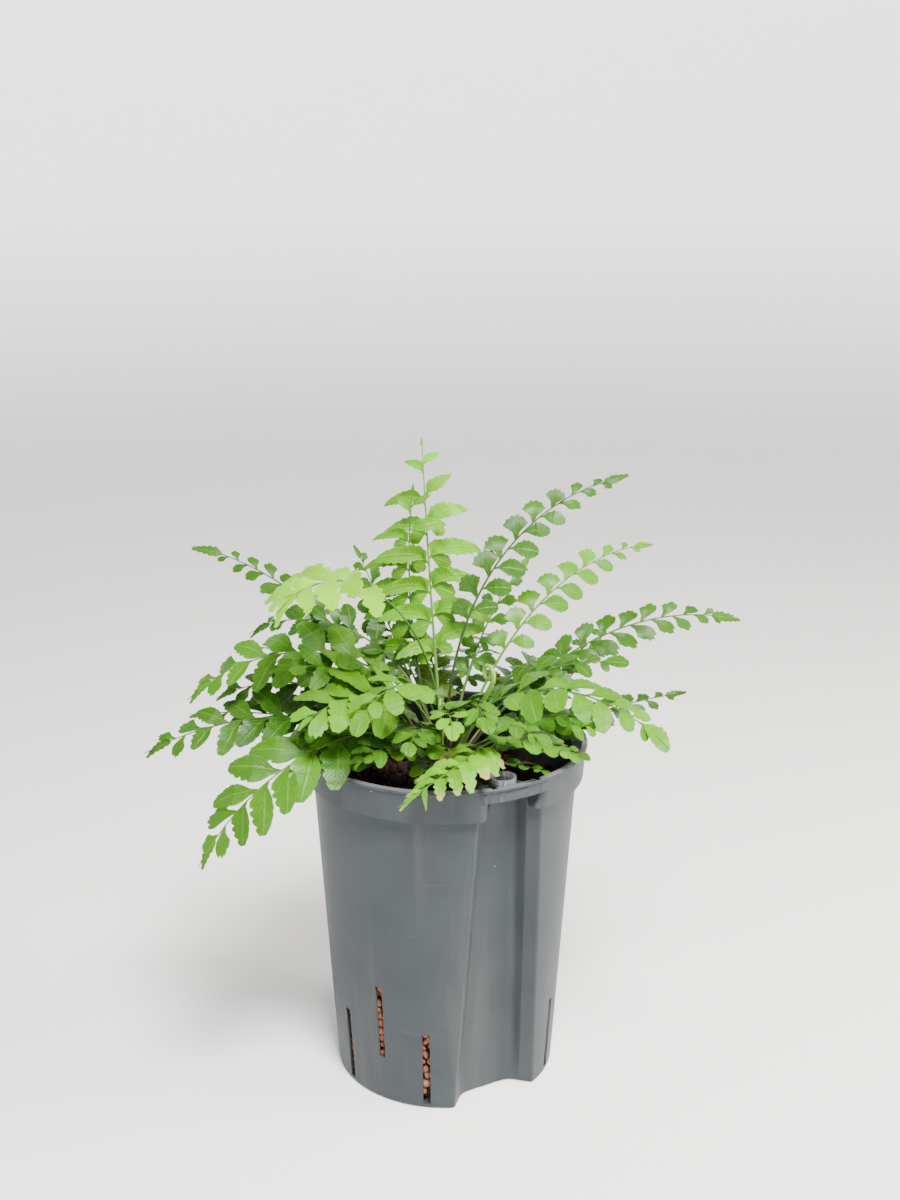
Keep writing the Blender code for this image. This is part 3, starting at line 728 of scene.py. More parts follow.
@dataclass(frozen=True)
class LeafShape:
    """One kind of leaflet, a unit long, from its attachment at the origin out along +Y.

    Shares run from 0 at the base to 1 at the tip.  columns is how many faces go across, neck the
    share that is a short stalk, width the widest spread, waist the share where it lies and skew
    how much sooner and wider the side towards the frond's tip swells.  wedge is how straight the
    base opens, blunt how squarely the end closes and end the share of the width left there.
    teeth counts the crenations from the share toothed_from on, steps the rows of faces for each,
    and bite is their depth; smooth leaves them off the side towards the frond's foot.  A fan
    bears its teeth on its outer edge, whose corners bow pulls back and slant only one of them.
    curve sweeps the leaflet towards the frond's tip, dome arches it, fold keels it and ripple
    waves it.
    """

    columns: int
    width: float
    waist: float
    teeth: int
    bite: float
    steps: int = 2
    base_rows: int = 3
    toothed_from: float = 0.3
    smooth: float = 0.0
    skew: float = 0.0
    wedge: float = 0.9
    blunt: float = 2.0
    end: float = 0.12
    neck: float = 0.08
    bow: float = 0.0
    slant: float = 0.0
    curve: float = 0.0
    dome: float = 0.06
    fold: float = 0.05
    ripple: float = 0.012
    thickness: float = 0.016
    fan: bool = False

    NECK_WIDTH = 0.035
    NOTCH_ROUNDNESS = 0.8

    @property
    def shares(self) -> list[float]:
        """Where the rows of the grid lie along the leaflet.

        Returns:
            One share for each row, from the base to the tip.
        """
        if self.fan:
            return [row / self.base_rows for row in range(self.base_rows + 1)]
        start = self.neck + (1 - self.neck) * self.toothed_from
        base = [start * row / self.base_rows for row in range(self.base_rows)]
        rows = self.teeth * self.steps
        return base + [start + (1 - start) * row / rows for row in range(rows + 1)]

    def half_width(self, share: float, side: int) -> float:
        """Half the outline's width, without teeth.

        Args:
            share: how far along the leaflet.
            side: 1 towards the frond's tip, -1 towards its foot.

        Returns:
            The distance from the midrib to the margin.
        """
        narrowest = self.width * self.NECK_WIDTH
        if share <= self.neck:
            return narrowest
        body = (share - self.neck) / (1 - self.neck)
        waist = self.waist * (1 - 0.5 * self.skew * side)
        widest = self.width / 2 * (1 + 0.5 * self.skew * side)
        if body < waist:
            bend = self.wedge * (1 - 0.6 * self.skew * side)
            opening = math.sin(math.pi / 2 * body / waist) ** bend
            return max(narrowest, widest * opening)
        closing = (1 - self.end) * ((body - waist) / (1 - waist)) ** self.blunt
        return max(narrowest, widest * (1 - closing))

    def press(self, name: str, hand: int, seed: int) -> bpy.types.Object:
        """Model the leaflet from a grid.

        Args:
            name: the new object's name.
            hand: 1 or -1, the side of the stalk that it is for.
            seed: varies the relief from one pressing to the next.

        Returns:
            A closed thin leaf of unit length, which copies are made of and which the press removes
            at the end.
        """
        dice = random.Random(seed)
        shares = self.shares
        rows = len(shares) - 1
        bpy.ops.mesh.primitive_grid_add(x_subdivisions=self.columns, y_subdivisions=rows,
                                        size=1, location=(0, 0.5, 0))
        leaf = bpy.context.active_object
        leaf.name = name
        pick_only(leaf)
        bpy.ops.object.transform_apply(location=True, rotation=False, scale=False)
        with editing(leaf):
            for row in reversed(range(rows + 1)):
                even = row / rows
                pick_verts(leaf, lambda co: abs(co.y - even) < 0.2 / rows and abs(co.z) < 1e-4)
                share = shares[row]
                wide = self.half_width(share, 1) + self.half_width(share, -1)
                arch = self.dome * math.sin(math.pi * share) + dice.uniform(-1, 1) * self.ripple
                bpy.ops.transform.resize(value=(wide, 1, 1), center_override=(0, even, 0))
                bpy.ops.transform.translate(value=(0, share - even, 0.001 + abs(arch)))
        self._relieve(leaf, -hand, dice)
        self._thicken(leaf)
        return leaf

    def _notch(self, along: float) -> float:
        """How deep the margin is cut at a count of teeth: one between two teeth, zero on one."""
        return 1 - abs(math.sin(math.pi * along)) ** self.NOTCH_ROUNDNESS

    def _relieve(self, leaf: bpy.types.Object, tipwards: int, dice: random.Random) -> None:
        """Skew, bow, keel and ripple the sheet, and cut its teeth.

        Args:
            leaf: the flat sheet, its vertices row by row from the base.
            tipwards: 1 where the frond's tip lies towards +X, else -1.
            dice: varies the teeth.
        """
        count = self.columns + 1
        phase = dice.uniform(-0.04, 0.04)
        offset = self.steps // 2 / self.steps
        depths = [self.bite * dice.uniform(0.7, 1.25) for _ in range(2 * self.teeth + 2)]
        shares = self.shares
        for index, vert in enumerate(leaf.data.vertices):
            column, row = index % count, index // count
            aside = 2 * column / self.columns - 1
            share = shares[row]
            body = max(0.0, (share - self.neck) / (1 - self.neck))
            side = 1 if aside * tipwards > 0 else -1
            vert.co.x = aside * self.half_width(share, side)
            if self.fan:
                along = (aside + 1) / 2 * self.teeth
                pull = self.bow * aside**2 + self.slant * max(0.0, -aside * tipwards)
                vert.co.y -= (pull + depths[round(along)] * self._notch(along)) * body**2
            elif body > self.toothed_from:
                along = (body - self.toothed_from) / (1 - self.toothed_from) * self.teeth
                along += offset * (side < 0) + phase
                notch = self._notch(along)
                depth = depths[int(along) + (side > 0) * self.teeth]
                depth *= 1 - self.smooth * (side < 0)
                vert.co.x *= 1 - depth * notch * abs(aside) ** 1.5
                vert.co.z += self.ripple * (0.5 - notch) * abs(aside)
            vert.co.x += tipwards * self.curve * share**2
            vert.co.z += self.fold * abs(aside) * math.sin(math.pi * min(1, share * 1.2))

    def _thicken(self, leaf: bpy.types.Object) -> None:
        """Give the sheet its thickness, mark its parts and shade it.

        Args:
            leaf: the sheet.
        """
        sheet = leaf.modifiers.new("thickness", "SOLIDIFY")
        sheet.thickness = self.thickness
        sheet.offset = -1
        upper = len(leaf.data.vertices)
        finish_modifiers(leaf)
        stamp(leaf.data, "blade", 1.0)
        stamp(leaf.data, "fan", float(self.fan))
        marks = leaf.data.attributes.new("under", "FLOAT", "POINT")
        marks.data.foreach_set("value", [float(i >= upper) for i in range(len(leaf.data.vertices))])
        smooth(leaf, 45)


LEAF_SHAPES = {
    Leaf.BLADE: LeafShape(4, 0.43, 0.50, teeth=5, bite=0.22, steps=3, toothed_from=0.24,
                          skew=0.25, wedge=0.9, blunt=2.2, end=0.36, neck=0.10, curve=-0.20,
                          dome=0.07, thickness=0.012),
    Leaf.SICKLE: LeafShape(2, 0.56, 0.50, teeth=4, bite=0.24, steps=3, toothed_from=0.34,
                           smooth=0.5, skew=0.30, wedge=0.8, blunt=1.9, end=0.28, curve=0.08,
                           thickness=0.014),
    Leaf.LANCE: LeafShape(2, 0.36, 0.36, teeth=4, bite=0.24, toothed_from=0.25, skew=0.3,
                          blunt=1.5, curve=0.05, dome=0.05, thickness=0.022),
    Leaf.OVAL: LeafShape(2, 0.64, 0.58, teeth=4, bite=0.17, steps=3, toothed_from=0.36,
                         skew=0.12, wedge=1.0, blunt=2.1, end=0.34, neck=0.10, curve=0.03,
                         thickness=0.015),
    Leaf.EAR: LeafShape(2, 0.82, 0.58, teeth=2, bite=0.18, base_rows=2, toothed_from=0.45,
                        wedge=0.8, blunt=2.4, end=0.3, neck=0.10, dome=0.08, thickness=0.03),
    Leaf.WEDGE: LeafShape(8, 0.66, 0.86, teeth=4, bite=0.09, base_rows=4, skew=0.1, wedge=0.9,
                          end=0.9, neck=0.10, bow=0.10, slant=0.30, curve=0.05, dome=0.05,
                          fold=0.03, thickness=0.020, fan=True),
    Leaf.FAN: LeafShape(8, 0.94, 0.84, teeth=4, bite=0.10, base_rows=4, wedge=0.9, end=0.85,
                        neck=0.14, bow=0.26, slant=0.08, dome=0.05, fold=0.03, thickness=0.020,
                        fan=True),
    Leaf.LOBED: LeafShape(4, 0.50, 0.46, teeth=4, bite=0.42, steps=3, toothed_from=0.16,
                          skew=0.15, wedge=0.6, blunt=2.2, end=0.3, neck=0.05, curve=0.04,
                          dome=0.06, ripple=0.02, thickness=0.014),
    Leaf.TIP: LeafShape(4, 0.38, 0.30, teeth=5, bite=0.36, toothed_from=0.06, smooth=0.2,
                        wedge=0.6, blunt=1.5, end=0.25, neck=0.01, curve=0.08, dome=0.04,
                        fold=0.03, thickness=0.014),
}

PRESSINGS = 3


class LeafPress:
    """Keeps the pressed leaf shapes and hands out copies of their meshes."""

    def __init__(self, material: bpy.types.Material) -> None:
        """Press every shape for both hands, a few times over.

        Args:
            material: the leaf material.
        """
        self.masters: dict[tuple[Leaf, int, int], bpy.types.Object] = {}
        for kind, shape in LEAF_SHAPES.items():
            for hand in (-1, 1):
                for number in range(PRESSINGS):
                    seed = 31 * number + 7 * hand + len(kind.value)
                    leaf = shape.press(f"master_{kind.value}_{hand + 1}_{number}", hand, seed)
                    leaf.data.materials.append(material)
                    self.masters[kind, hand, number] = leaf

    def mesh(self, kind: Leaf, hand: int, number: int) -> bpy.types.Mesh:
        """A fresh copy of a pressed leaf's mesh."""
        return self.masters[kind, hand, number % PRESSINGS].data.copy()

    def clear_away(self) -> None:
        """Remove the masters, which aren't part of the model."""
        for leaf in self.masters.values():
            bpy.data.objects.remove(leaf, do_unlink=True)


# ---------------------------------------------------------------- room between leaves

class Thicket:
    """Remembers every stalk and leaflet, so that a new one can be kept clear of the rest."""

    CELL = 22 * MM

    def __init__(self) -> None:
        """Start with nothing grown."""
        self.cells: dict[tuple[int, int, int], list[tuple[str, int, BVHTree]]] = {}
        self.count = 0

    def _cells(self, verts: Sequence[Vector]) -> Iterable[tuple[int, int, int]]:
        """The cells that a shape's box covers.

        Args:
            verts: the shape's vertices.

        Returns:
            The cells' numbers along X, Y and Z.
        """
        spans = []
        for axis in range(3):
            values = [vert[axis] for vert in verts]
            spans.append(range(int(min(values) // self.CELL), int(max(values) // self.CELL) + 1))
        return ((i, j, k) for i in spans[0] for j in spans[1] for k in spans[2])

    def add(self, owner: str, verts: Sequence[Vector], faces: Sequence[Sequence[int]]) -> None:
        """Remember a shape under its owner's name.

        Args:
            owner: the frond or piece that it belongs to.
            verts: its vertices in the frame.
            faces: its faces.
        """
        tree = BVHTree.FromPolygons(verts, faces)
        self.count += 1
        for cell in self._cells(verts):
            self.cells.setdefault(cell, []).append((owner, self.count, tree))

    def misses(self, owner: str, verts: Sequence[Vector], faces: Sequence[Sequence[int]]) -> bool:
        """Whether a shape touches nothing that another owner has grown.

        Args:
            owner: the frond that the shape would belong to.
            verts: its vertices in the frame.
            faces: its faces.

        Returns:
            True where there is room.
        """
        tree = BVHTree.FromPolygons(verts, faces)
        tried = set()
        for cell in self._cells(verts):
            for other, number, grown in self.cells.get(cell, ()):
                if other != owner and number not in tried:
                    tried.add(number)
                    if tree.overlap(grown):
                        return False
        return True


# ---------------------------------------------------------------- fronds

class Tone(Enum):
    """Leaf colours, from the youngest growth to the oldest."""

    LIME = (0.205, 0.470, 0.005)
    YOUNG = (0.105, 0.300, 0.004)
    FRESH = (0.070, 0.220, 0.003)
    FULL = (0.045, 0.155, 0.003)
    DEEP = (0.026, 0.098, 0.002)
    SHADE = (0.016, 0.062, 0.002)
    OLIVE = (0.042, 0.085, 0.004)


STALK_PALE: Colour = (0.105, 0.230, 0.035)
STALK_GREEN: Colour = (0.050, 0.120, 0.018)
STALK_DARK: Colour = (0.030, 0.060, 0.018)
STALK_BROWN: Colour = (0.060, 0.032, 0.014)
TIP_TAN: Colour = (0.380, 0.280, 0.110)


@dataclass(frozen=True)
class Habit:
    """How a frond's leaflets look and sit.

    leaf is the kind on the upper side of the stalk, lower the kind on its lower side and tip the
    kind near the frond's end, from the share tip_from on.  lean is the angle between leaflet
    and stalk in degrees and droop how far a leaflet's tip sinks over its length.  stagger sets
    one side's leaflets further along.  spring is how far a leaflet rises beside the stalk, as a
    share of its length, before it spreads.  Small ears grow at the foot of the leaflets up to
    the share ears_until.  tilt turns the leaflets about their length, so that their faces look
    towards the frond's tip, by degrees.  end is the last leaflet and end_share how much of the
    stalk it covers.  swell multiplies the leaflets' length.
    """

    leaf: Leaf
    lower: Leaf
    tip: Leaf
    tip_from: float = 0.8
    lean: float = 62
    droop: float = 0.14
    stagger: float = 0.5
    spring: float = 0.05
    ears_until: float = 0.0
    tilt: float = 8
    end: Leaf = Leaf.TIP
    end_share: float = 0.10
    swell: float = 1.0


UPRIGHT = Habit(Leaf.BLADE, Leaf.BLADE, Leaf.LANCE, 0.74, lean=57, droop=0.42, stagger=0.24,
                spring=0.07, ears_until=0.70, tilt=4, end=Leaf.LANCE, end_share=0.035)
HANGING = Habit(Leaf.LOBED, Leaf.LOBED, Leaf.LOBED, lean=66, droop=0.24, stagger=0.3,
                tilt=38, end_share=0.12, swell=1.18)
WEDGED = Habit(Leaf.WEDGE, Leaf.WEDGE, Leaf.WEDGE, lean=56, stagger=0.5, ears_until=0.36)
FANNED = Habit(Leaf.FAN, Leaf.OVAL, Leaf.WEDGE, 0.72, lean=54, stagger=0.4, end_share=0.075)
SICKLED = Habit(Leaf.SICKLE, Leaf.SICKLE, Leaf.WEDGE, 0.78, lean=58, droop=0.12, stagger=0.4,
                ears_until=0.3, swell=1.06)
BROAD = Habit(Leaf.OVAL, Leaf.OVAL, Leaf.OVAL, lean=56, droop=0.18, end=Leaf.OVAL,
              end_share=0.13, swell=1.05)
NARROW = Habit(Leaf.LANCE, Leaf.LANCE, Leaf.LANCE, lean=62, droop=0.10, stagger=0.3)
TOOTHED = Habit(Leaf.LOBED, Leaf.LOBED, Leaf.LANCE, 0.85, lean=56, droop=0.32, stagger=0.3,
                end_share=0.12)
ROUND = Habit(Leaf.EAR, Leaf.OVAL, Leaf.EAR, lean=54, droop=0.10, stagger=0.4, end=Leaf.EAR,
              end_share=0.12, swell=1.1)


@dataclass(frozen=True)
class Frond:
    """One frond: its stalk's path, in degrees and millimetres, and the way it is leafed.

    rise is the stalk's slope at the crown, tip its slope at the far end, late how long the bend
    waits, sway how far the heading turns, turn how far the blade rolls about the stalk and bare
    the share of the stalk with no leaflets.  leaflet is the length of a full-grown leaflet,
    stalk the stalk's colour and tan how dry the leaflets' ends are.
    """

    name: str
    heading: float
    rise: float
    tip: float
    length: float
    leaflet: float
    pairs: int
    habit: Habit
    tone: Tone
    late: float = 1.2
    sway: float = 0
    turn: float = 0
    bare: float = 0.3
    stalk: Colour = STALK_GREEN
    tan: float = 0.0
    stalk_radius: float = 0.85


FRONDS = (
    # the upright pair in the middle
    Frond("upright_front", 114, 79, 84, 166, 34, 7, UPRIGHT, Tone.YOUNG, sway=2, turn=25,
          bare=0.28, stalk=STALK_PALE, stalk_radius=1.05),
    Frond("upright_back", 142, 70, 99, 145, 31, 6, UPRIGHT, Tone.FRESH, late=1.0, turn=50,
          bare=0.34, stalk=STALK_DARK),
    # right side, from the highest to the lowest
    Frond("right_high", 24, 88, 4, 193, 17, 9, FANNED, Tone.DEEP, late=1.4, sway=-8, turn=-55,
          bare=0.36, stalk=STALK_DARK),
    Frond("right_mid", 19, 67, -6, 168, 16, 8, FANNED, Tone.FRESH, late=1.7, sway=7, turn=-50,
          bare=0.34, stalk=STALK_PALE),
    Frond("right_inner", 57, 70, 22, 123, 15, 6, WEDGED, Tone.FULL, sway=-4, turn=-35),
    Frond("right_long", 6, 52, -19, 178, 17, 9, WEDGED, Tone.DEEP, late=1.5, sway=4, turn=-50,
          bare=0.34),
    Frond("right_small", 22, 28, 52, 100, 11, 6, NARROW, Tone.FULL, turn=-50, bare=0.34),
    Frond("right_low", 4, 28, 7, 122, 14, 7, WEDGED, Tone.SHADE, turn=-45, bare=0.34),
    Frond("right_front", -32, 71, -39, 148, 22, 7, BROAD, Tone.FRESH, late=0.85, turn=-20,
          bare=0.28),
    # left side, from the highest to the lowest
    Frond("left_far", 161, 57, 8, 176, 15, 9, WEDGED, Tone.DEEP, late=1.5, sway=4, turn=50,
          bare=0.36, stalk=STALK_BROWN),
    Frond("left_shade", 167, 76, -35, 141, 18, 6, SICKLED, Tone.SHADE, late=1.3, sway=4, turn=40),
    Frond("left_bright", 196, 86, -40, 180, 28, 4, HANGING, Tone.LIME, late=1.6, sway=40,
          bare=0.60),
    Frond("left_mid", 188, 78, -45, 165, 25, 7, SICKLED, Tone.FULL, late=0.9, sway=-2, turn=35,
          bare=0.28),
    Frond("left_dark", 181, 52, -28, 126, 21, 6, SICKLED, Tone.SHADE, turn=40, bare=0.28),
    Frond("left_low", 192, 42, -27, 155, 23, 7, SICKLED, Tone.DEEP, late=0.9, turn=35, bare=0.28),
    Frond("left_back_low", 177, 33, -8, 128, 19, 6, WEDGED, Tone.DEEP, late=0.9, sway=2, turn=45,
          bare=0.28),
    Frond("left_drooping", 217, 61, -57, 162, 29, 7, SICKLED, Tone.FULL, late=0.6, sway=-9,
          turn=25, bare=0.28, stalk=STALK_PALE),
    # towards the back
    Frond("back_left_high", 134, 62, 53, 120, 18, 6, FANNED, Tone.DEEP, turn=45, bare=0.34),
    Frond("back_1", 44, 40, -20, 140, 18, 7, WEDGED, Tone.DEEP, turn=-30, bare=0.26),
    Frond("back_2", 60, 34, -25, 135, 17, 7, SICKLED, Tone.DEEP, turn=-20, bare=0.26),
    Frond("back_3", 76, 44, -35, 145, 18, 7, WEDGED, Tone.DEEP, turn=-10, bare=0.26),
    Frond("back_4", 92, 32, -20, 135, 18, 7, SICKLED, Tone.DEEP, bare=0.26),
    Frond("back_5", 108, 42, -30, 145, 18, 7, WEDGED, Tone.DEEP, turn=10, bare=0.26),
    Frond("back_6", 124, 30, -20, 130, 18, 7, SICKLED, Tone.SHADE, turn=20, bare=0.26),
    Frond("back_7", 146, 40, -15, 145, 18, 7, WEDGED, Tone.DEEP, turn=35, bare=0.26),
    # inner ones that fill the middle
    Frond("front_mid", -118, 79, -40, 118, 20, 5, BROAD, Tone.FRESH, late=1.1, bare=0.36),
    Frond("front_left", -140, 66, -35, 108, 30, 5, SICKLED, Tone.FRESH, turn=15),
    Frond("front_right", -76, 58, -25, 98, 14, 6, ROUND, Tone.FULL, sway=44),
    Frond("right_inner_low", -10, 64, -10, 112, 18, 5, BROAD, Tone.DEEP, turn=-30, bare=0.28),
    Frond("left_inner", 200, 66, -10, 112, 21, 5, SICKLED, Tone.FULL, turn=25, bare=0.28),
    Frond("back_inner", 100, 64, 10, 72, 12, 5, ROUND, Tone.OLIVE, bare=0.28),
    # short ones between them, low over the granules
    Frond("inner_1", -159, 51, -27, 97, 19, 5, SICKLED, Tone.FULL, late=1.0, sway=12),
    Frond("inner_2", -143, 49, -14, 74, 16, 5, BROAD, Tone.FULL, late=0.8, turn=16),
    Frond("inner_3", -123, 47, -14, 76, 17, 5, SICKLED, Tone.FULL, late=1.0),
    Frond("inner_4", -109, 58, -22, 78, 17, 5, BROAD, Tone.FULL, sway=12),
    Frond("inner_5", -86, 48, -26, 72, 15, 5, BROAD, Tone.FRESH, sway=-6),
    Frond("inner_6", -67, 76, -25, 93, 17, 5, BROAD, Tone.FULL, late=1.0, sway=-12),
    Frond("inner_7", -36, 53, -23, 80, 15, 5, ROUND, Tone.FRESH, late=0.8),
    Frond("inner_8", -18, 49, -18, 89, 13, 6, ROUND, Tone.FULL, sway=-6, turn=-20),
    Frond("inner_9", -4, 44, -19, 79, 14, 5, ROUND, Tone.YOUNG, late=1.0, turn=-20),
    Frond("inner_10", 35, 56, -29, 96, 16, 5, BROAD, Tone.DEEP, sway=12),
    Frond("inner_11", 126, 51, -22, 90, 16, 5, SICKLED, Tone.DEEP, late=0.8, sway=12),
    Frond("inner_12", 170, 45, -19, 77, 17, 5, SICKLED, Tone.DEEP, late=1.0, sway=12, turn=20),
    # short ones in front, over the rim
    Frond("front_cluster", -87, 65, -20, 88, 13, 4, BROAD, Tone.YOUNG, bare=0.5),
    Frond("front_leaf", -119, 68, -34, 58, 14, 2, BROAD, Tone.FRESH, bare=0.5),
    Frond("front_rim", -52, 46, -34, 118, 20, 7, TOOTHED, Tone.YOUNG, late=1.0, sway=-112,
          bare=0.40, tan=1.0),
    Frond("rim_right", -27, 40, -24, 75, 11, 6, ROUND, Tone.YOUNG, bare=0.24),
    Frond("front_low", -100, 38, -20, 58, 11, 4, ROUND, Tone.DEEP),
    Frond("ring_side", -41, 30, -8, 58, 9, 4, ROUND, Tone.FULL),
)


# the fronds that are leafed before the others, which give way to them
FOREMOST = {name: place for place, name in enumerate((
    "upright_front", "left_bright", "left_drooping", "front_cluster", "front_rim", "right_front",
    "left_mid", "right_long", "right_high", "right_mid", "left_low", "left_far", "upright_back",
))}


@dataclass(frozen=True)
class Station:
    """A place on a stalk with its own directions."""

    point: Vector
    along: Vector
    sideways: Vector

    @property
    def upper(self) -> Vector:
        """The side of the frond that faces up."""
        return self.sideways.cross(self.along)


GOLDEN_ANGLE = 2.39996


@dataclass(frozen=True)
class Crown:
    """The short rhizome in the middle of the pot that everything grows from.

    Its stubs run up it in a spiral, each sunk in it by STUB_DEPTH and bent up by STUB_LIFT.  The
    lumps follow one another by LUMPS_X and LUMPS_Y radians per metre.
    """

    radius: float = 19 * MM
    height: float = 22 * MM
    foot: float = 163.3 * MM
    stubs: int = 46
    stub_size: float = 2.4 * MM

    LUMPS_X = 900
    LUMPS_Y = 1100
    LUMP_MEAN = 0.93
    LUMP_SWING = 0.07
    STUB_DEPTH = 2.2 * MM
    STUB_LIFT = 0.55

    def surface(self, heading: float, rise: float, proud: float) -> Vector:
        """A point a little above the crown.

        Args:
            heading: direction in the plan, in radians.
            rise: slope above the horizon, in radians.
            proud: height above the surface.

        Returns:
            The point in the frame.
        """
        flat = math.cos(rise) * (self.radius + proud)
        up = math.sin(rise) * (self.height + proud)
        return Vector((flat * math.cos(heading), flat * math.sin(heading), self.foot + up))

    def build(self, material: bpy.types.Material) -> None:
        """Model the dome, lumpy and set with the stubs of old stalks.

        Args:
            material: the crown's material.
        """
        dice = random.Random(5)
        parts = [self._dome()] + [self._stub(i, dice) for i in range(self.stubs)]
        whole = join_as("fern_crown", parts)
        bpy.ops.object.transform_apply(location=True, rotation=True, scale=True)
        whole.data.materials.clear()
        whole.data.materials.append(material)
        smooth(whole, 50)
        settle(whole, "crown", "crown")

    def _dome(self) -> bpy.types.Object:
        """The lumpy half of a ball on the granules.

        Returns:
            The dome, in place and closed below.
        """
        bpy.ops.mesh.primitive_uv_sphere_add(segments=28, ring_count=16, radius=1)
        dome = bpy.context.active_object
        size = (self.radius, self.radius, self.height)
        with editing(dome):
            bpy.ops.mesh.bisect(plane_co=(0, 0, 0), plane_no=(0, 0, -1), use_fill=True,
                                clear_outer=True)
            bpy.ops.mesh.select_all(action="SELECT")
            bpy.ops.transform.resize(value=size, center_override=(0, 0, 0))
            bpy.ops.transform.translate(value=(0, 0, self.foot))
        for vert in dome.data.vertices:
            lump = self.LUMP_MEAN + (self.LUMP_SWING * math.sin(vert.co.x * self.LUMPS_X)
                                     * math.sin(vert.co.y * self.LUMPS_Y))
            vert.co.x *= lump
            vert.co.y *= lump
        return dome

    def _stub(self, number: int, dice: random.Random) -> bpy.types.Object:
        """One cut stalk.

        Args:
            number: its place in the spiral that runs up the dome.
            dice: varies its size.

        Returns:
            A pointed cone that leans upwards out of the dome.
        """
        rise = math.radians(12 + 76 * (number / self.stubs) ** 1.1)
        heading = number * GOLDEN_ANGLE
        at = self.surface(heading, rise, -self.STUB_DEPTH)
        out = Vector((math.cos(heading) * math.cos(rise), math.sin(heading) * math.cos(rise),
                      math.sin(rise)))
        out = (out + Vector((0, 0, self.STUB_LIFT))).normalized()
        tall = self.stub_size * dice.uniform(1.6, 3.2)
        bpy.ops.mesh.primitive_cone_add(vertices=6, radius1=self.stub_size * dice.uniform(0.5, 0.8),
                                        radius2=self.stub_size * 0.16, depth=tall,
                                        location=at + out * tall * 0.35,
                                        rotation=out.to_track_quat("Z", "Y").to_euler())
        return bpy.context.active_object


CROWN = Crown()
POT_PIECE = "culture_pot_moulding"
# a stalk's path starts a little above the crown, in so many steps, and the stalk itself inside it
STALK_STEPS = 120
STALK_PROUD = 0.3 * MM
STALK_SUNK = 3 * MM


@dataclass(frozen=True)
class Bud:
    """A leaflet to be placed.

    It is attached at the point at, grows in the direction out and is reach long, with its upper
    face looking up.  hand is 1 on the right side of the stalk and -1 on the left, droop how far
    its tip sinks, as a share of its length, and spring how its blade is set off from the stalk.
    """

    kind: Leaf
    at: Vector
    out: Vector
    up: Vector
    reach: float
    hand: int
    droop: float
    tint: Colour
    spring: Vector = field(default_factory=Vector)

    def placed(self, shape: Sequence[Vector], sag: Vector, scale: float,
               lift: float) -> list[Vector]:
        """The leaflet's vertices in the frame.

        Args:
            shape: the vertices of a leaflet of unit length.
            sag: how far the tip of a full-sized leaflet sinks.
            scale: how much of its length it gets.
            lift: how far it is turned up, in degrees.

        Returns:
            One place for each vertex.
        """
        across = self.out.cross(self.up).normalized()
        ahead = Matrix.Rotation(math.radians(lift), 3, across) @ self.out
        turn = Matrix((across, ahead, across.cross(ahead))).transposed()
        verts = []
        for co in shape:
            opened = min(1.0, max(0.0, co.y) * 6)
            bend = sag * scale * max(0.0, co.y) ** 2 + self.spring * opened
            verts.append(self.at + turn @ (co * self.reach * scale) + bend)
        return verts


@dataclass(frozen=True)
class Wildness:
    """How far leaflets stray from their frond's habit: angles in degrees, the rest as factors."""

    lean: float = 8
    lift: float = 13
    tilt: float = 16
    twist: float = 14
    curl: Range = (-0.08, 0.14)
    sag: Range = (0.6, 1.3)
    light: Range = (0.74, 1.18)
    warm: Range = (0.92, 1.10)
    blue: Range = (0.85, 1.2)
    dry_from: Range = (0.55, 1.0)
    ear: Range = (0.30, 0.38)


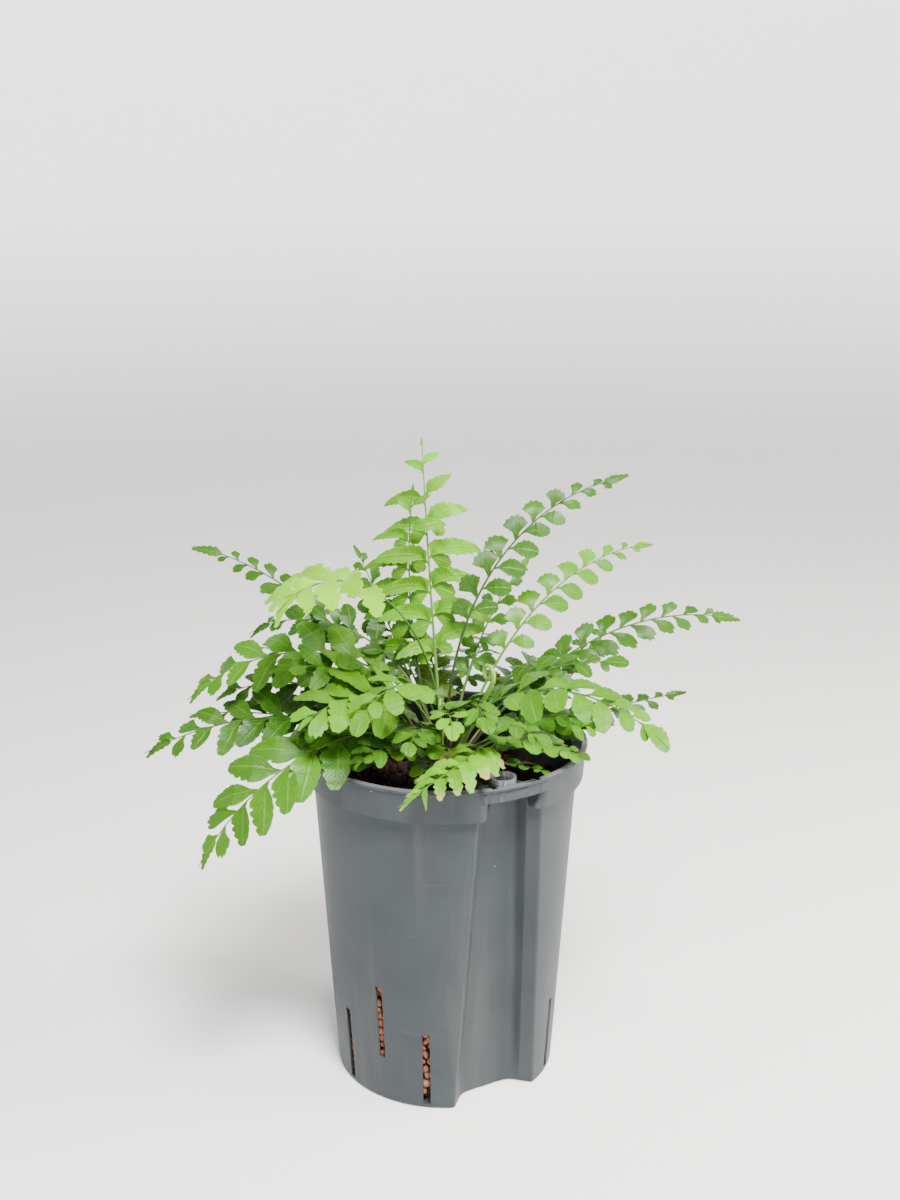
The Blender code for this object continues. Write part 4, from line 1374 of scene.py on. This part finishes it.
class FrondBuilder:
    """Grows the fronds one after another, each clear of those before it.

    TRIALS are the sizes that a leaflet may take, each with how far it is turned up in degrees,
    from the likeliest on.  EARS gives each ear's hand and its angle from the stalk in degrees.
    """

    TRIALS = ((1.0, 0), (1.0, 12), (1.0, -12), (0.9, 24), (0.9, -24), (0.8, 38), (0.75, -38),
              (0.6, 10))
    EARS = ((1, 30), (-1, 108))
    EAR_DROOP = 0.12
    END_DROOP = 0.02

    def __init__(self, press: LeafPress, material: bpy.types.Material) -> None:
        """Keep the leaf press and the leaf material.

        Args:
            press: hands out the leaflets' meshes.
            material: the leaf material, which the stalks wear too.
        """
        self.press = press
        self.material = material
        self.thicket = Thicket()
        self.wild = Wildness()
        self.dice = random.Random(11)
        self.left_off = 0

    def _stray(self, degrees: float) -> float:
        """A random angle up to so many degrees either way."""
        return self.dice.uniform(-degrees, degrees)

    def stations(self, frond: Frond) -> list[Station]:
        """The stalk's path, from the crown to the tip.

        Args:
            frond: the frond.

        Returns:
            The places along the stalk, at even steps.
        """
        heading = math.radians(frond.heading)
        rise = math.radians(frond.rise)
        turn = math.radians(frond.turn)
        point = CROWN.surface(heading, rise, STALK_PROUD)
        path = []
        for i in range(STALK_STEPS + 1):
            share = i / STALK_STEPS
            slope = rise + (math.radians(frond.tip) - rise) * share**frond.late
            course = heading + math.radians(frond.sway) * share
            flat = Vector((math.cos(course), math.sin(course), 0))
            along = flat * math.cos(slope) + Vector((0, 0, math.sin(slope)))
            across = Vector((flat.y, -flat.x, 0))
            sideways = across * math.cos(turn) + across.cross(along) * math.sin(turn)
            path.append(Station(point.copy(), along, sideways))
            point = point + along * frond.length * MM / STALK_STEPS
        return path

    @staticmethod
    def station_at(path: list[Station], share: float) -> Station:
        """The place at a share of the stalk's length."""
        return path[min(STALK_STEPS, max(0, round(share * STALK_STEPS)))]

    def stalk(self, frond: Frond, path: list[Station]) -> bpy.types.Object:
        """The stalk as a tapered tube, rooted in the crown.

        Args:
            frond: the frond.
            path: its stalk's path.

        Returns:
            The stalk, tinted and dressed.
        """
        rooted = path[0].point - path[0].along * STALK_SUNK
        points = [rooted] + [station.point for station in path[::4]]
        last = len(points) - 1
        radii = [1.15 - 0.90 * (i / last) ** 0.8 for i in range(last + 1)]
        stalk = tube("stalk", points, radii, frond.stalk_radius * MM, resolution=1)
        self._tint_stalk(stalk, frond, path)
        stalk.data.materials.append(self.material)
        smooth(stalk, 60)
        return stalk

    @staticmethod
    def _tint_stalk(stalk: bpy.types.Object, frond: Frond, path: list[Station]) -> None:
        """Shade the stalk from brown at its foot to its own colour and the leaf's at its end.

        Args:
            stalk: the tube.
            frond: the frond.
            path: its stalk's path.
        """
        layer = stalk.data.attributes.new("tint", "FLOAT_COLOR", "POINT")
        foot = Vector(STALK_BROWN)
        own = Vector(frond.stalk)
        leaf = Vector(frond.tone.value)
        base = path[0].point
        reach = frond.length * MM
        for vert, target in zip(stalk.data.vertices, layer.data):
            share = min(1.0, (vert.co - base).length / reach)
            colour = foot.lerp(own, min(1.0, share * 5))
            colour = colour.lerp(leaf, max(0.0, share - 0.45) * 1.1)
            target.color = (*colour, 1)

    def tint(self, tone: Tone, share: float) -> Colour:
        """A leaflet's own colour: its frond's tone, younger towards the end, and varied.

        Args:
            tone: the frond's tone.
            share: how far along the leafy stretch the leaflet grows.

        Returns:
            The colour.
        """
        light = self.dice.uniform(*self.wild.light) * (0.92 + 0.16 * share)
        warm = self.dice.uniform(*self.wild.warm)
        cold = self.dice.uniform(*self.wild.blue)
        red, green, blue = tone.value
        return (red * light * warm, green * light, blue * light * cold)

    def leaflet(self, frond: Frond, bud: Bud) -> bpy.types.Object | None:
        """Place one leaflet where it is clear of the other fronds.

        Args:
            frond: the frond that bears it.
            bud: its kind, place and colour.

        Returns:
            The leaflet, or None where no trial is clear.
        """
        mesh = self.press.mesh(bud.kind, bud.hand, self.dice.randrange(PRESSINGS))
        twist = math.radians(self._stray(self.wild.twist))
        curl = self.dice.uniform(*self.wild.curl)
        sag = Vector((0, 0, -1)) * bud.droop * bud.reach * self.dice.uniform(*self.wild.sag)
        for vert in mesh.vertices:
            share = vert.co.y
            vert.co.z -= curl * share**2
            vert.co.rotate(Euler((0, twist * share, 0)))
        shape = [vert.co.copy() for vert in mesh.vertices]
        faces = [tuple(polygon.vertices) for polygon in mesh.polygons]
        for scale, lift in self.TRIALS:
            verts = bud.placed(shape, sag, scale, lift)
            if self.thicket.misses(frond.name, verts, faces):
                self.thicket.add(frond.name, verts, faces)
                for vert, co in zip(mesh.vertices, verts):
                    vert.co = co
                stamp_tint(mesh, bud.tint)
                if frond.tan:
                    self._dry_tip(mesh, shape, frond.tan)
                return add_to_scene("leaflet", mesh)
        bpy.data.meshes.remove(mesh)
        self.left_off += 1
        return None

    def _dry_tip(self, mesh: bpy.types.Mesh, shape: list[Vector], amount: float) -> None:
        """Turn a leaflet's end tan, as if it had dried.

        Args:
            mesh: the placed leaflet.
            shape: its vertices at unit length.
            amount: how much of the tan is taken on.
        """
        tan = Vector(TIP_TAN)
        start = self.dice.uniform(*self.wild.dry_from)
        for co, target in zip(shape, mesh.attributes["tint"].data):
            share = max(0.0, min(1.0, (co.y - start) * 4)) * amount
            colour = Vector(target.color[:3]).lerp(tan, share)
            target.color = (*colour, 1)

    def reach(self, frond: Frond, share: float) -> float:
        """A leaflet's length at a share of the leafy stretch.

        Args:
            frond: the frond.
            share: how far along the leafy stretch.

        Returns:
            The length in metres.
        """
        swell = min(1.0, 0.80 + share)
        taper = max(1 - 0.74 * share**2.6, 0.24)
        return frond.leaflet * MM * swell * taper * frond.habit.swell

    def grow(self, frond: Frond) -> None:
        """Grow one frond and settle it as a piece.

        Args:
            frond: the frond.
        """
        habit = frond.habit
        path = self.stations(frond)
        parts = [self.stalk(frond, path)]
        leafy = 1 - frond.bare - habit.end_share * 0.7
        for i in range(frond.pairs):
            for hand in (-1, 1):
                late = habit.stagger if hand > 0 else 0.0
                share = (i + 0.1 + late) / frond.pairs
                place = self.station_at(path, frond.bare + leafy * share)
                parts += self._pinna(frond, place, share, hand)
        parts += self._end_leaf(frond, path)
        whole = join_as(f"fern_{frond.name}", parts)
        settle(whole, "fronds", f"frond_{frond.name}")

    def _end_leaf(self, frond: Frond, path: list[Station]) -> list[bpy.types.Object]:
        """The last leaflet, which ends where the stalk's path does.

        Args:
            frond: the frond.
            path: its stalk's path.

        Returns:
            One leaflet, or none where it found no room.
        """
        start = self.station_at(path, 1 - frond.habit.end_share)
        out = path[-1].point - start.point
        reach = out.length
        out = out.normalized()
        up = (start.upper - out * start.upper.dot(out)).normalized()
        tint = self.tint(frond.tone, 1.0)
        bud = Bud(frond.habit.end, start.point, out, up, reach, 1, self.END_DROOP, tint)
        leaf = self.leaflet(frond, bud)
        return [leaf] if leaf else []

    def _pinna(self, frond: Frond, place: Station, share: float,
               hand: int) -> list[bpy.types.Object]:
        """One leaflet on one side, with its ears where the habit has them.

        Args:
            frond: the frond that bears it.
            place: where on the stalk it grows.
            share: how far along the leafy stretch that is.
            hand: 1 on the right side of the stalk, -1 on the left.

        Returns:
            The leaflets that found room.
        """
        habit = frond.habit
        side = place.sideways * hand
        kind = habit.leaf if side.z >= 0 else habit.lower
        if share > habit.tip_from:
            kind = habit.tip
        lean = math.radians(habit.lean - 14 * share + self._stray(self.wild.lean))
        out = side * math.sin(lean) + place.along * math.cos(lean)
        lift = math.radians(self._stray(self.wild.lift))
        out = (out * math.cos(lift) + place.upper * math.sin(lift)).normalized()
        tilt = math.radians(habit.tilt + self._stray(self.wild.tilt))
        face = place.upper * math.cos(tilt) + place.along * math.sin(tilt)
        up = (face - out * face.dot(out)).normalized()
        reach = self.reach(frond, share)
        bud = Bud(kind, place.point, out, up, reach, hand, habit.droop,
                  self.tint(frond.tone, share), place.along * reach * habit.spring)
        leaves = [self.leaflet(frond, bud)]
        if share < habit.ears_until:
            small = reach * self.dice.uniform(*self.wild.ear)
            at = place.point + out * reach * 0.06
            for way, angle in self.EARS:
                spread = math.radians(angle)
                ear_out = side * math.sin(spread) + place.along * math.cos(spread)
                ear_up = (place.upper - ear_out * place.upper.dot(ear_out)).normalized()
                ear = Bud(Leaf.EAR, at, ear_out, ear_up, small, hand * way, self.EAR_DROOP,
                          self.tint(frond.tone, share))
                leaves.append(self.leaflet(frond, ear))
        return [leaf for leaf in leaves if leaf]

    def grow_all(self, fronds: Sequence[Frond]) -> None:
        """Reserve the pot's and the stalks' room first, then grow the fronds, foremost first.

        Args:
            fronds: all fronds.
        """
        pot = bpy.data.objects[POT_PIECE].data
        verts = [vert.co.copy() for vert in pot.vertices]
        self.thicket.add(POT_PIECE, verts, [tuple(face.vertices) for face in pot.polygons])
        for frond in fronds:
            path = self.stations(frond)
            self.thicket.add(frond.name, *self._stalk_room(frond, path))
        for frond in sorted(fronds, key=lambda frond: FOREMOST.get(frond.name, len(FOREMOST))):
            self.grow(frond)
        log.info("leaflets left off for want of room: %d", self.left_off)

    @staticmethod
    def _stalk_room(frond: Frond,
                    path: list[Station]) -> tuple[list[Vector], list[tuple[int, ...]]]:
        """Two crossed strips along a stalk, a little wider than it.

        Args:
            frond: the frond.
            path: its stalk's path.

        Returns:
            The strips' vertices and faces.
        """
        half = (frond.stalk_radius + 0.3) * MM
        verts: list[Vector] = []
        faces: list[tuple[int, ...]] = []
        for flat in (True, False):
            start = len(verts)
            for station in path[6::6]:
                out = station.sideways if flat else station.upper
                verts += [station.point - out * half, station.point + out * half]
            for i in range(start, len(verts) - 2, 2):
                faces.append((i, i + 1, i + 3, i + 2))
        return verts, faces


# ---------------------------------------------------------------- fiddleheads

@dataclass(frozen=True)
class Fiddlehead:
    """A young frond that is still rolled up, in degrees and millimetres.

    height is the stem's length up to the coil and coil the coil's outer radius, stem the stem's
    own radius and turns how often it is rolled.  hairs counts the scales and leaflets on it.
    """

    name: str
    heading: float
    lean: float
    height: float
    coil: float
    turns: float
    stem: float = 0.95
    hairs: int = 26

    STEM_STEPS = 8
    COIL_STEPS = 34
    SUNK = 2 * MM
    GREEN = (0.20, 0.36, 0.06)
    LEAFLET_GREEN = (0.18, 0.38, 0.05)
    SCALE_BROWN = (0.20, 0.11, 0.04)

    def path(self) -> tuple[list[Vector], Vector, Vector]:
        """The stem's line up to the coil and round it.

        Returns:
            The points, the direction of the stem and the way that the coil turns in.
        """
        heading = math.radians(self.heading)
        lean = math.radians(self.lean)
        start = CROWN.surface(heading, lean, 0.75 * MM)
        flat = Vector((math.cos(heading), math.sin(heading), 0))
        along = flat * math.cos(lean) + Vector((0, 0, math.sin(lean)))
        inwards = Vector((0, 0, 1)) * math.cos(lean) - flat * math.sin(lean)
        points = [start - along * self.SUNK]
        for i in range(self.STEM_STEPS + 1):
            points.append(start + along * self.height * MM * i / self.STEM_STEPS)
        centre = points[-1] + inwards * self.coil * MM
        for i in range(1, self.COIL_STEPS + 1):
            angle = 2 * math.pi * self.turns * 1.25 * i / self.COIL_STEPS
            radius = self.coil * MM * (1 - 0.80 * i / self.COIL_STEPS)
            turn = along * radius * math.sin(angle) - inwards * radius * math.cos(angle)
            points.append(centre + turn)
        return points, along, inwards

    def build(self, press: LeafPress, material: bpy.types.Material) -> None:
        """Model the stem and coil with unopened leaflets and brown scales along them.

        Args:
            press: hands out the leaflets' meshes.
            material: the leaf material.
        """
        dice = random.Random(len(self.name))
        points, along, inwards = self.path()
        radii = [1.0 - 0.45 * i / len(points) for i in range(len(points))]
        stem = tube(self.name, points, radii, self.stem * MM, resolution=2)
        stamp_tint(stem.data, self.GREEN)
        stem.data.materials.append(material)
        smooth(stem, 60)
        parts = [stem]
        side = along.cross(inwards)
        for i in range(self.hairs):
            index = dice.randrange(4, len(points) - 2)
            forward = (points[index + 1] - points[index - 1]).normalized()
            hand = 1 if i % 2 else -1
            out = (side * hand * dice.uniform(0.5, 1) + forward * 0.7).normalized()
            green = i % 3 > 0
            mesh = press.mesh(Leaf.LANCE if green else Leaf.EAR, hand, i)
            across = out.cross(forward).normalized()
            turn = Matrix((across, out, across.cross(out))).transposed()
            size = dice.uniform(1.6, 3.0) * MM
            for vert in mesh.vertices:
                vert.co = points[index] + turn @ (vert.co * size)
            stamp_tint(mesh, self.LEAFLET_GREEN if green else self.SCALE_BROWN)
            parts.append(add_to_scene("scale", mesh))
        whole = join_as(f"fern_{self.name}", parts)
        settle(whole, "fiddleheads", self.name)


FIDDLEHEADS = (
    Fiddlehead("fiddlehead_front", -56, 57, 62, 5.2, 1.25, stem=1.35),
    Fiddlehead("fiddlehead_left", 262, 68, 30, 3.6, 1.2),
)


# ---------------------------------------------------------------- pot and filling

@dataclass(frozen=True)
class Pot:
    """The culture pot, with its moulded edges softened."""

    edge: float = 0.45 * MM
    crease: float = 32
    weld: float = 0.15 * MM

    def build(self, material: bpy.types.Material) -> None:
        """Round the edges of a copy of the moulding.

        Args:
            material: the pot's plastic.
        """
        pot = from_node("culture_pot", POT_PIECE, self.weld)
        bevel = pot.modifiers.new("edges", "BEVEL")
        bevel.width = self.edge
        bevel.segments = 2
        bevel.limit_method = "ANGLE"
        bevel.angle_limit = math.radians(self.crease)
        bevel.use_clamp_overlap = True
        finish_modifiers(pot)
        pot.data.materials.append(material)
        smooth(pot, self.crease)
        even = pot.modifiers.new("even shading", "WEIGHTED_NORMAL")
        even.keep_sharp = True
        finish_modifiers(pot)
        settle(pot, "pot_plastic", "culture_pot")


# where a granule lies, its radius and its colour
Lying = tuple[Vector, float, Colour]


@dataclass(frozen=True)
class Granules:
    """Loose clay granules: a layer on top, darkened with painted shade, and a lining behind the
    water slots.

    top is the filling's surface and size a granule's usual radius.  The layer on top is laid in
    rings, the lining in courses from lining_foot up to slot_top, so many granules to each.
    core_gap is how far the dark core is drawn in.  At PLAIN_WALL_HEIGHT the filling's side has
    no slots.
    """

    top: float = 163 * MM
    size: float = 3.1 * MM
    core_gap: float = 4.5 * MM
    ring_range: Range = (24 * MM, 71 * MM)
    lining_foot: float = 4.5 * MM
    lining_count: int = 86
    slot_top: float = 74 * MM
    dry: Colour = (0.190, 0.066, 0.032)
    pale: Colour = (0.270, 0.112, 0.066)
    # the top layer's colour: painted shade, dark as where the top lies in the fronds' shadow
    painted_top_shade: Colour = (0.020, 0.008, 0.005)

    MASTERS = 4
    PLAIN_WALL_HEIGHT = 120 * MM

    def master(self, number: int) -> bpy.types.Object:
        """One lumpy granule of unit radius.

        Args:
            number: which one, and so how lumpy.

        Returns:
            The granule, which copies are made of.
        """
        dice = random.Random(40 + number)
        bpy.ops.mesh.primitive_ico_sphere_add(subdivisions=2, radius=1)
        stone = bpy.context.active_object
        stone.name = f"master_granule_{number}"
        squash = (dice.uniform(0.85, 1.15), dice.uniform(0.8, 1.0), dice.uniform(0.7, 0.95))
        with editing(stone):
            bpy.ops.transform.resize(value=squash, center_override=(0, 0, 0))
        for vert in stone.data.vertices:
            vert.co *= dice.uniform(0.86, 1.10)
        smooth(stone, 50)
        return stone

    def places(self) -> list[Lying]:
        """Where each granule of the top layer lies, its radius and its colour.

        Returns:
            One entry for each granule.
        """
        dice = random.Random(8)
        found = []
        ring, widest = self.ring_range
        while ring < widest:
            count = int(2 * math.pi * ring / (self.size * 1.9))
            for i in range(count):
                angle = 2 * math.pi * (i + dice.uniform(-0.25, 0.25)) / count
                radius = ring + dice.uniform(-1, 1) * MM
                height = self.top - self.size * 0.7 + dice.uniform(-1.3, 1.6) * MM
                place = Vector((radius * math.cos(angle), radius * math.sin(angle), height))
                # the top layer takes the dark painted-shade colour
                found.append((place, self.size * dice.uniform(0.75, 1.15), self.painted_top_shade))
            ring += self.size * 1.75
        return found

    def build(self, material: bpy.types.Material, core_material: bpy.types.Material) -> None:
        """Scatter copies of the granules over a dark core.

        Args:
            material: the clay.
            core_material: the painted shade between the granules.
        """
        core = from_node("clay_granules", "granule_core")
        shell = BVHTree.FromObject(core, bpy.context.evaluated_depsgraph_get())
        masters = [self.master(i) for i in range(self.MASTERS)]
        places = [p for p in self.places() if self._inside(shell, p[0], p[1] * 0.5)]
        places += self._lining(shell)
        dice = random.Random(3)
        parts = []
        for i, (place, size, colour) in enumerate(places):
            stone = copy_of(masters[i % self.MASTERS], "granule")
            turn = Euler([dice.uniform(0, 2 * math.pi) for _ in range(3)]).to_matrix().to_4x4()
            stone.data.transform(Matrix.Translation(place) @ turn @ Matrix.Scale(size, 4))
            shade = dice.uniform(0.7, 1.3)
            stamp_tint(stone.data, tuple(c * shade for c in colour))
            parts.append(stone)
        whole = join_as("clay_granules_loose", parts)
        whole.data.materials.append(material)
        for stone in masters:
            bpy.data.objects.remove(stone, do_unlink=True)
        self._shrink(core)
        core.data.materials.append(core_material)
        settle(whole, "clay_granules", "clay_granules")
        settle(core, "clay_granules", "clay_granules")

    def _inside(self, shell: BVHTree, place: Vector, depth: float) -> bool:
        """Whether a point lies at least so deep behind the filling's side, seen from above.

        Args:
            shell: the filling's surface.
            place: the point.
            depth: how deep it has to lie.

        Returns:
            True where it does.
        """
        low = Vector((place.x, place.y, self.PLAIN_WALL_HEIGHT))
        near, normal, _, gap = shell.find_nearest(low)
        return (low - near).dot(normal) < 0 and gap > depth

    def _lining(self, shell: BVHTree) -> list[Lying]:
        """Granules just behind the wall, as high as the water slots reach.

        Args:
            shell: the filling's surface.

        Returns:
            One entry for each granule.
        """
        dice = random.Random(21)
        found = []
        height = self.lining_foot
        while height < self.slot_top:
            for i in range(self.lining_count):
                angle = 2 * math.pi * (i + dice.uniform(-0.3, 0.3)) / self.lining_count
                out = Vector((math.cos(angle), math.sin(angle), 0))
                start = Vector((0, 0, height + dice.uniform(-1.2, 1.2) * MM))
                hit, _, _, reach = shell.ray_cast(start, out)
                if hit is None:
                    continue
                size = self.size * dice.uniform(0.62, 0.95)
                colour = Vector(self.dry).lerp(Vector(self.pale), dice.random() ** 2)
                place = start + out * (reach - size * 1.02)
                if shell.find_nearest(place)[3] > size * 0.9:
                    found.append((place, size, tuple(colour)))
            height += self.size * 1.45
        return found

    def _shrink(self, core: bpy.types.Object) -> None:
        """Draw the core in, so that the granules stand out of it.

        Args:
            core: the filling.
        """
        for vert in core.data.vertices:
            flat = Vector((vert.co.x, vert.co.y, 0))
            vert.co -= flat.normalized() * self.core_gap
            if vert.co.z > self.top - 1 * MM:
                vert.co.z -= self.core_gap * 0.7


# ---------------------------------------------------------------- studio

@dataclass(frozen=True)
class SoftBox:
    """A square lamp that looks at the plant's middle."""

    name: str
    place: Place
    size: float
    power: float
    colour: Colour

    AIM = (0, 0, 0.18)

    def build(self) -> None:
        """Hang the lamp."""
        lamp = bpy.data.lights.new(self.name, "AREA")
        lamp.size = self.size
        lamp.energy = self.power
        lamp.color = self.colour
        box = bpy.data.objects.new(self.name, lamp)
        box.location = self.place
        aim = Vector(self.AIM) - Vector(self.place)
        box.rotation_euler = aim.to_track_quat("-Z", "Y").to_euler()
        bpy.context.scene.collection.objects.link(box)


SOFT_BOXES = (
    SoftBox("key", (0.20, -0.70, 1.40), size=0.42, power=68.0, colour=(1.0, 0.99, 0.96)),
    SoftBox("front", (-0.15, -1.35, 0.6), size=0.8, power=4.0, colour=(0.97, 0.99, 1.0)),
    SoftBox("warm_right", (1.15, -0.05, 0.55), size=0.45, power=21.0, colour=(1.0, 0.92, 0.80)),
)


@dataclass(frozen=True)
class Studio:
    """Camera, pale floor and soft light."""

    camera_at: Place = (2.883 * MM, -771.41 * MM, 486.02 * MM)
    camera_pitch: float = 15.847
    lens: float = 45.56
    sensor: float = 36
    nearest: float = 20 * MM
    room: float = 3.0
    floor_gap: float = 0.2 * MM
    world_light: float = 0.11

    def build(self, floor_material: bpy.types.Material) -> None:
        """Set up everything that isn't the object.

        Args:
            floor_material: what the floor and wall wear.
        """
        self._camera()
        self._bowl(floor_material)
        self._world()
        for box in SOFT_BOXES:
            box.build()

    def _camera(self) -> None:
        """Look slightly down at the plant from the front."""
        lens = bpy.data.cameras.new("camera")
        lens.lens = self.lens
        lens.sensor_width = self.sensor
        lens.clip_start = self.nearest
        camera = bpy.data.objects.new("camera", lens)
        camera.location = self.camera_at
        camera.rotation_euler = (math.radians(90 - self.camera_pitch), 0, 0)
        bpy.context.scene.collection.objects.link(camera)
        bpy.context.scene.camera = camera

    def _bowl(self, material: bpy.types.Material) -> None:
        """A wide pale floor that curves up into a wall all round.

        Args:
            material: what it wears.
        """
        middle = (0, 0, self.room / 2 - self.floor_gap)
        bpy.ops.object.select_all(action="DESELECT")
        bpy.ops.mesh.primitive_cylinder_add(vertices=96, radius=self.room, depth=self.room,
                                            location=middle)
        bowl = bpy.context.active_object
        bowl.name = "studio_floor"
        pick_only(bowl)
        bpy.ops.object.transform_apply(location=True, rotation=False, scale=False)
        with editing(bowl):
            pick_verts(bowl, lambda co: co.z > self.room / 2)
            bpy.ops.mesh.delete(type="ONLY_FACE")
            bpy.ops.mesh.select_all(action="SELECT")
            bpy.ops.mesh.flip_normals()
        cove = bowl.modifiers.new("cove", "BEVEL")
        cove.width = self.room / 3
        cove.segments = 12
        cove.limit_method = "ANGLE"
        cove.angle_limit = math.radians(60)
        finish_modifiers(bowl)
        bowl.data.materials.append(material)
        smooth(bowl, 60)

    def _world(self) -> None:
        """Even pale light from all round."""
        world = bpy.data.worlds.new("studio")
        world.use_nodes = True
        back = world.node_tree.nodes["Background"]
        back.inputs["Color"].default_value = (1.0, 1.0, 1.0, 1)
        back.inputs["Strength"].default_value = self.world_light
        bpy.context.scene.world = world


def main() -> None:
    """Build the object's looks and the studio round it."""
    logging.basicConfig(level=logging.INFO, format="%(message)s")
    Studio().build(FloorFinish().make())
    Pot().build(PotFinish().make())
    Granules().build(GranuleFinish().make(), CoreShadeFinish().make())
    CROWN.build(CrownFinish().make())
    leaf_material = LeafFinish().make()
    press = LeafPress(leaf_material)
    FrondBuilder(press, leaf_material).grow_all(FRONDS)
    for fiddlehead in FIDDLEHEADS:
        fiddlehead.build(press, leaf_material)
    press.clear_away()


if __name__ == "__main__":
    main()
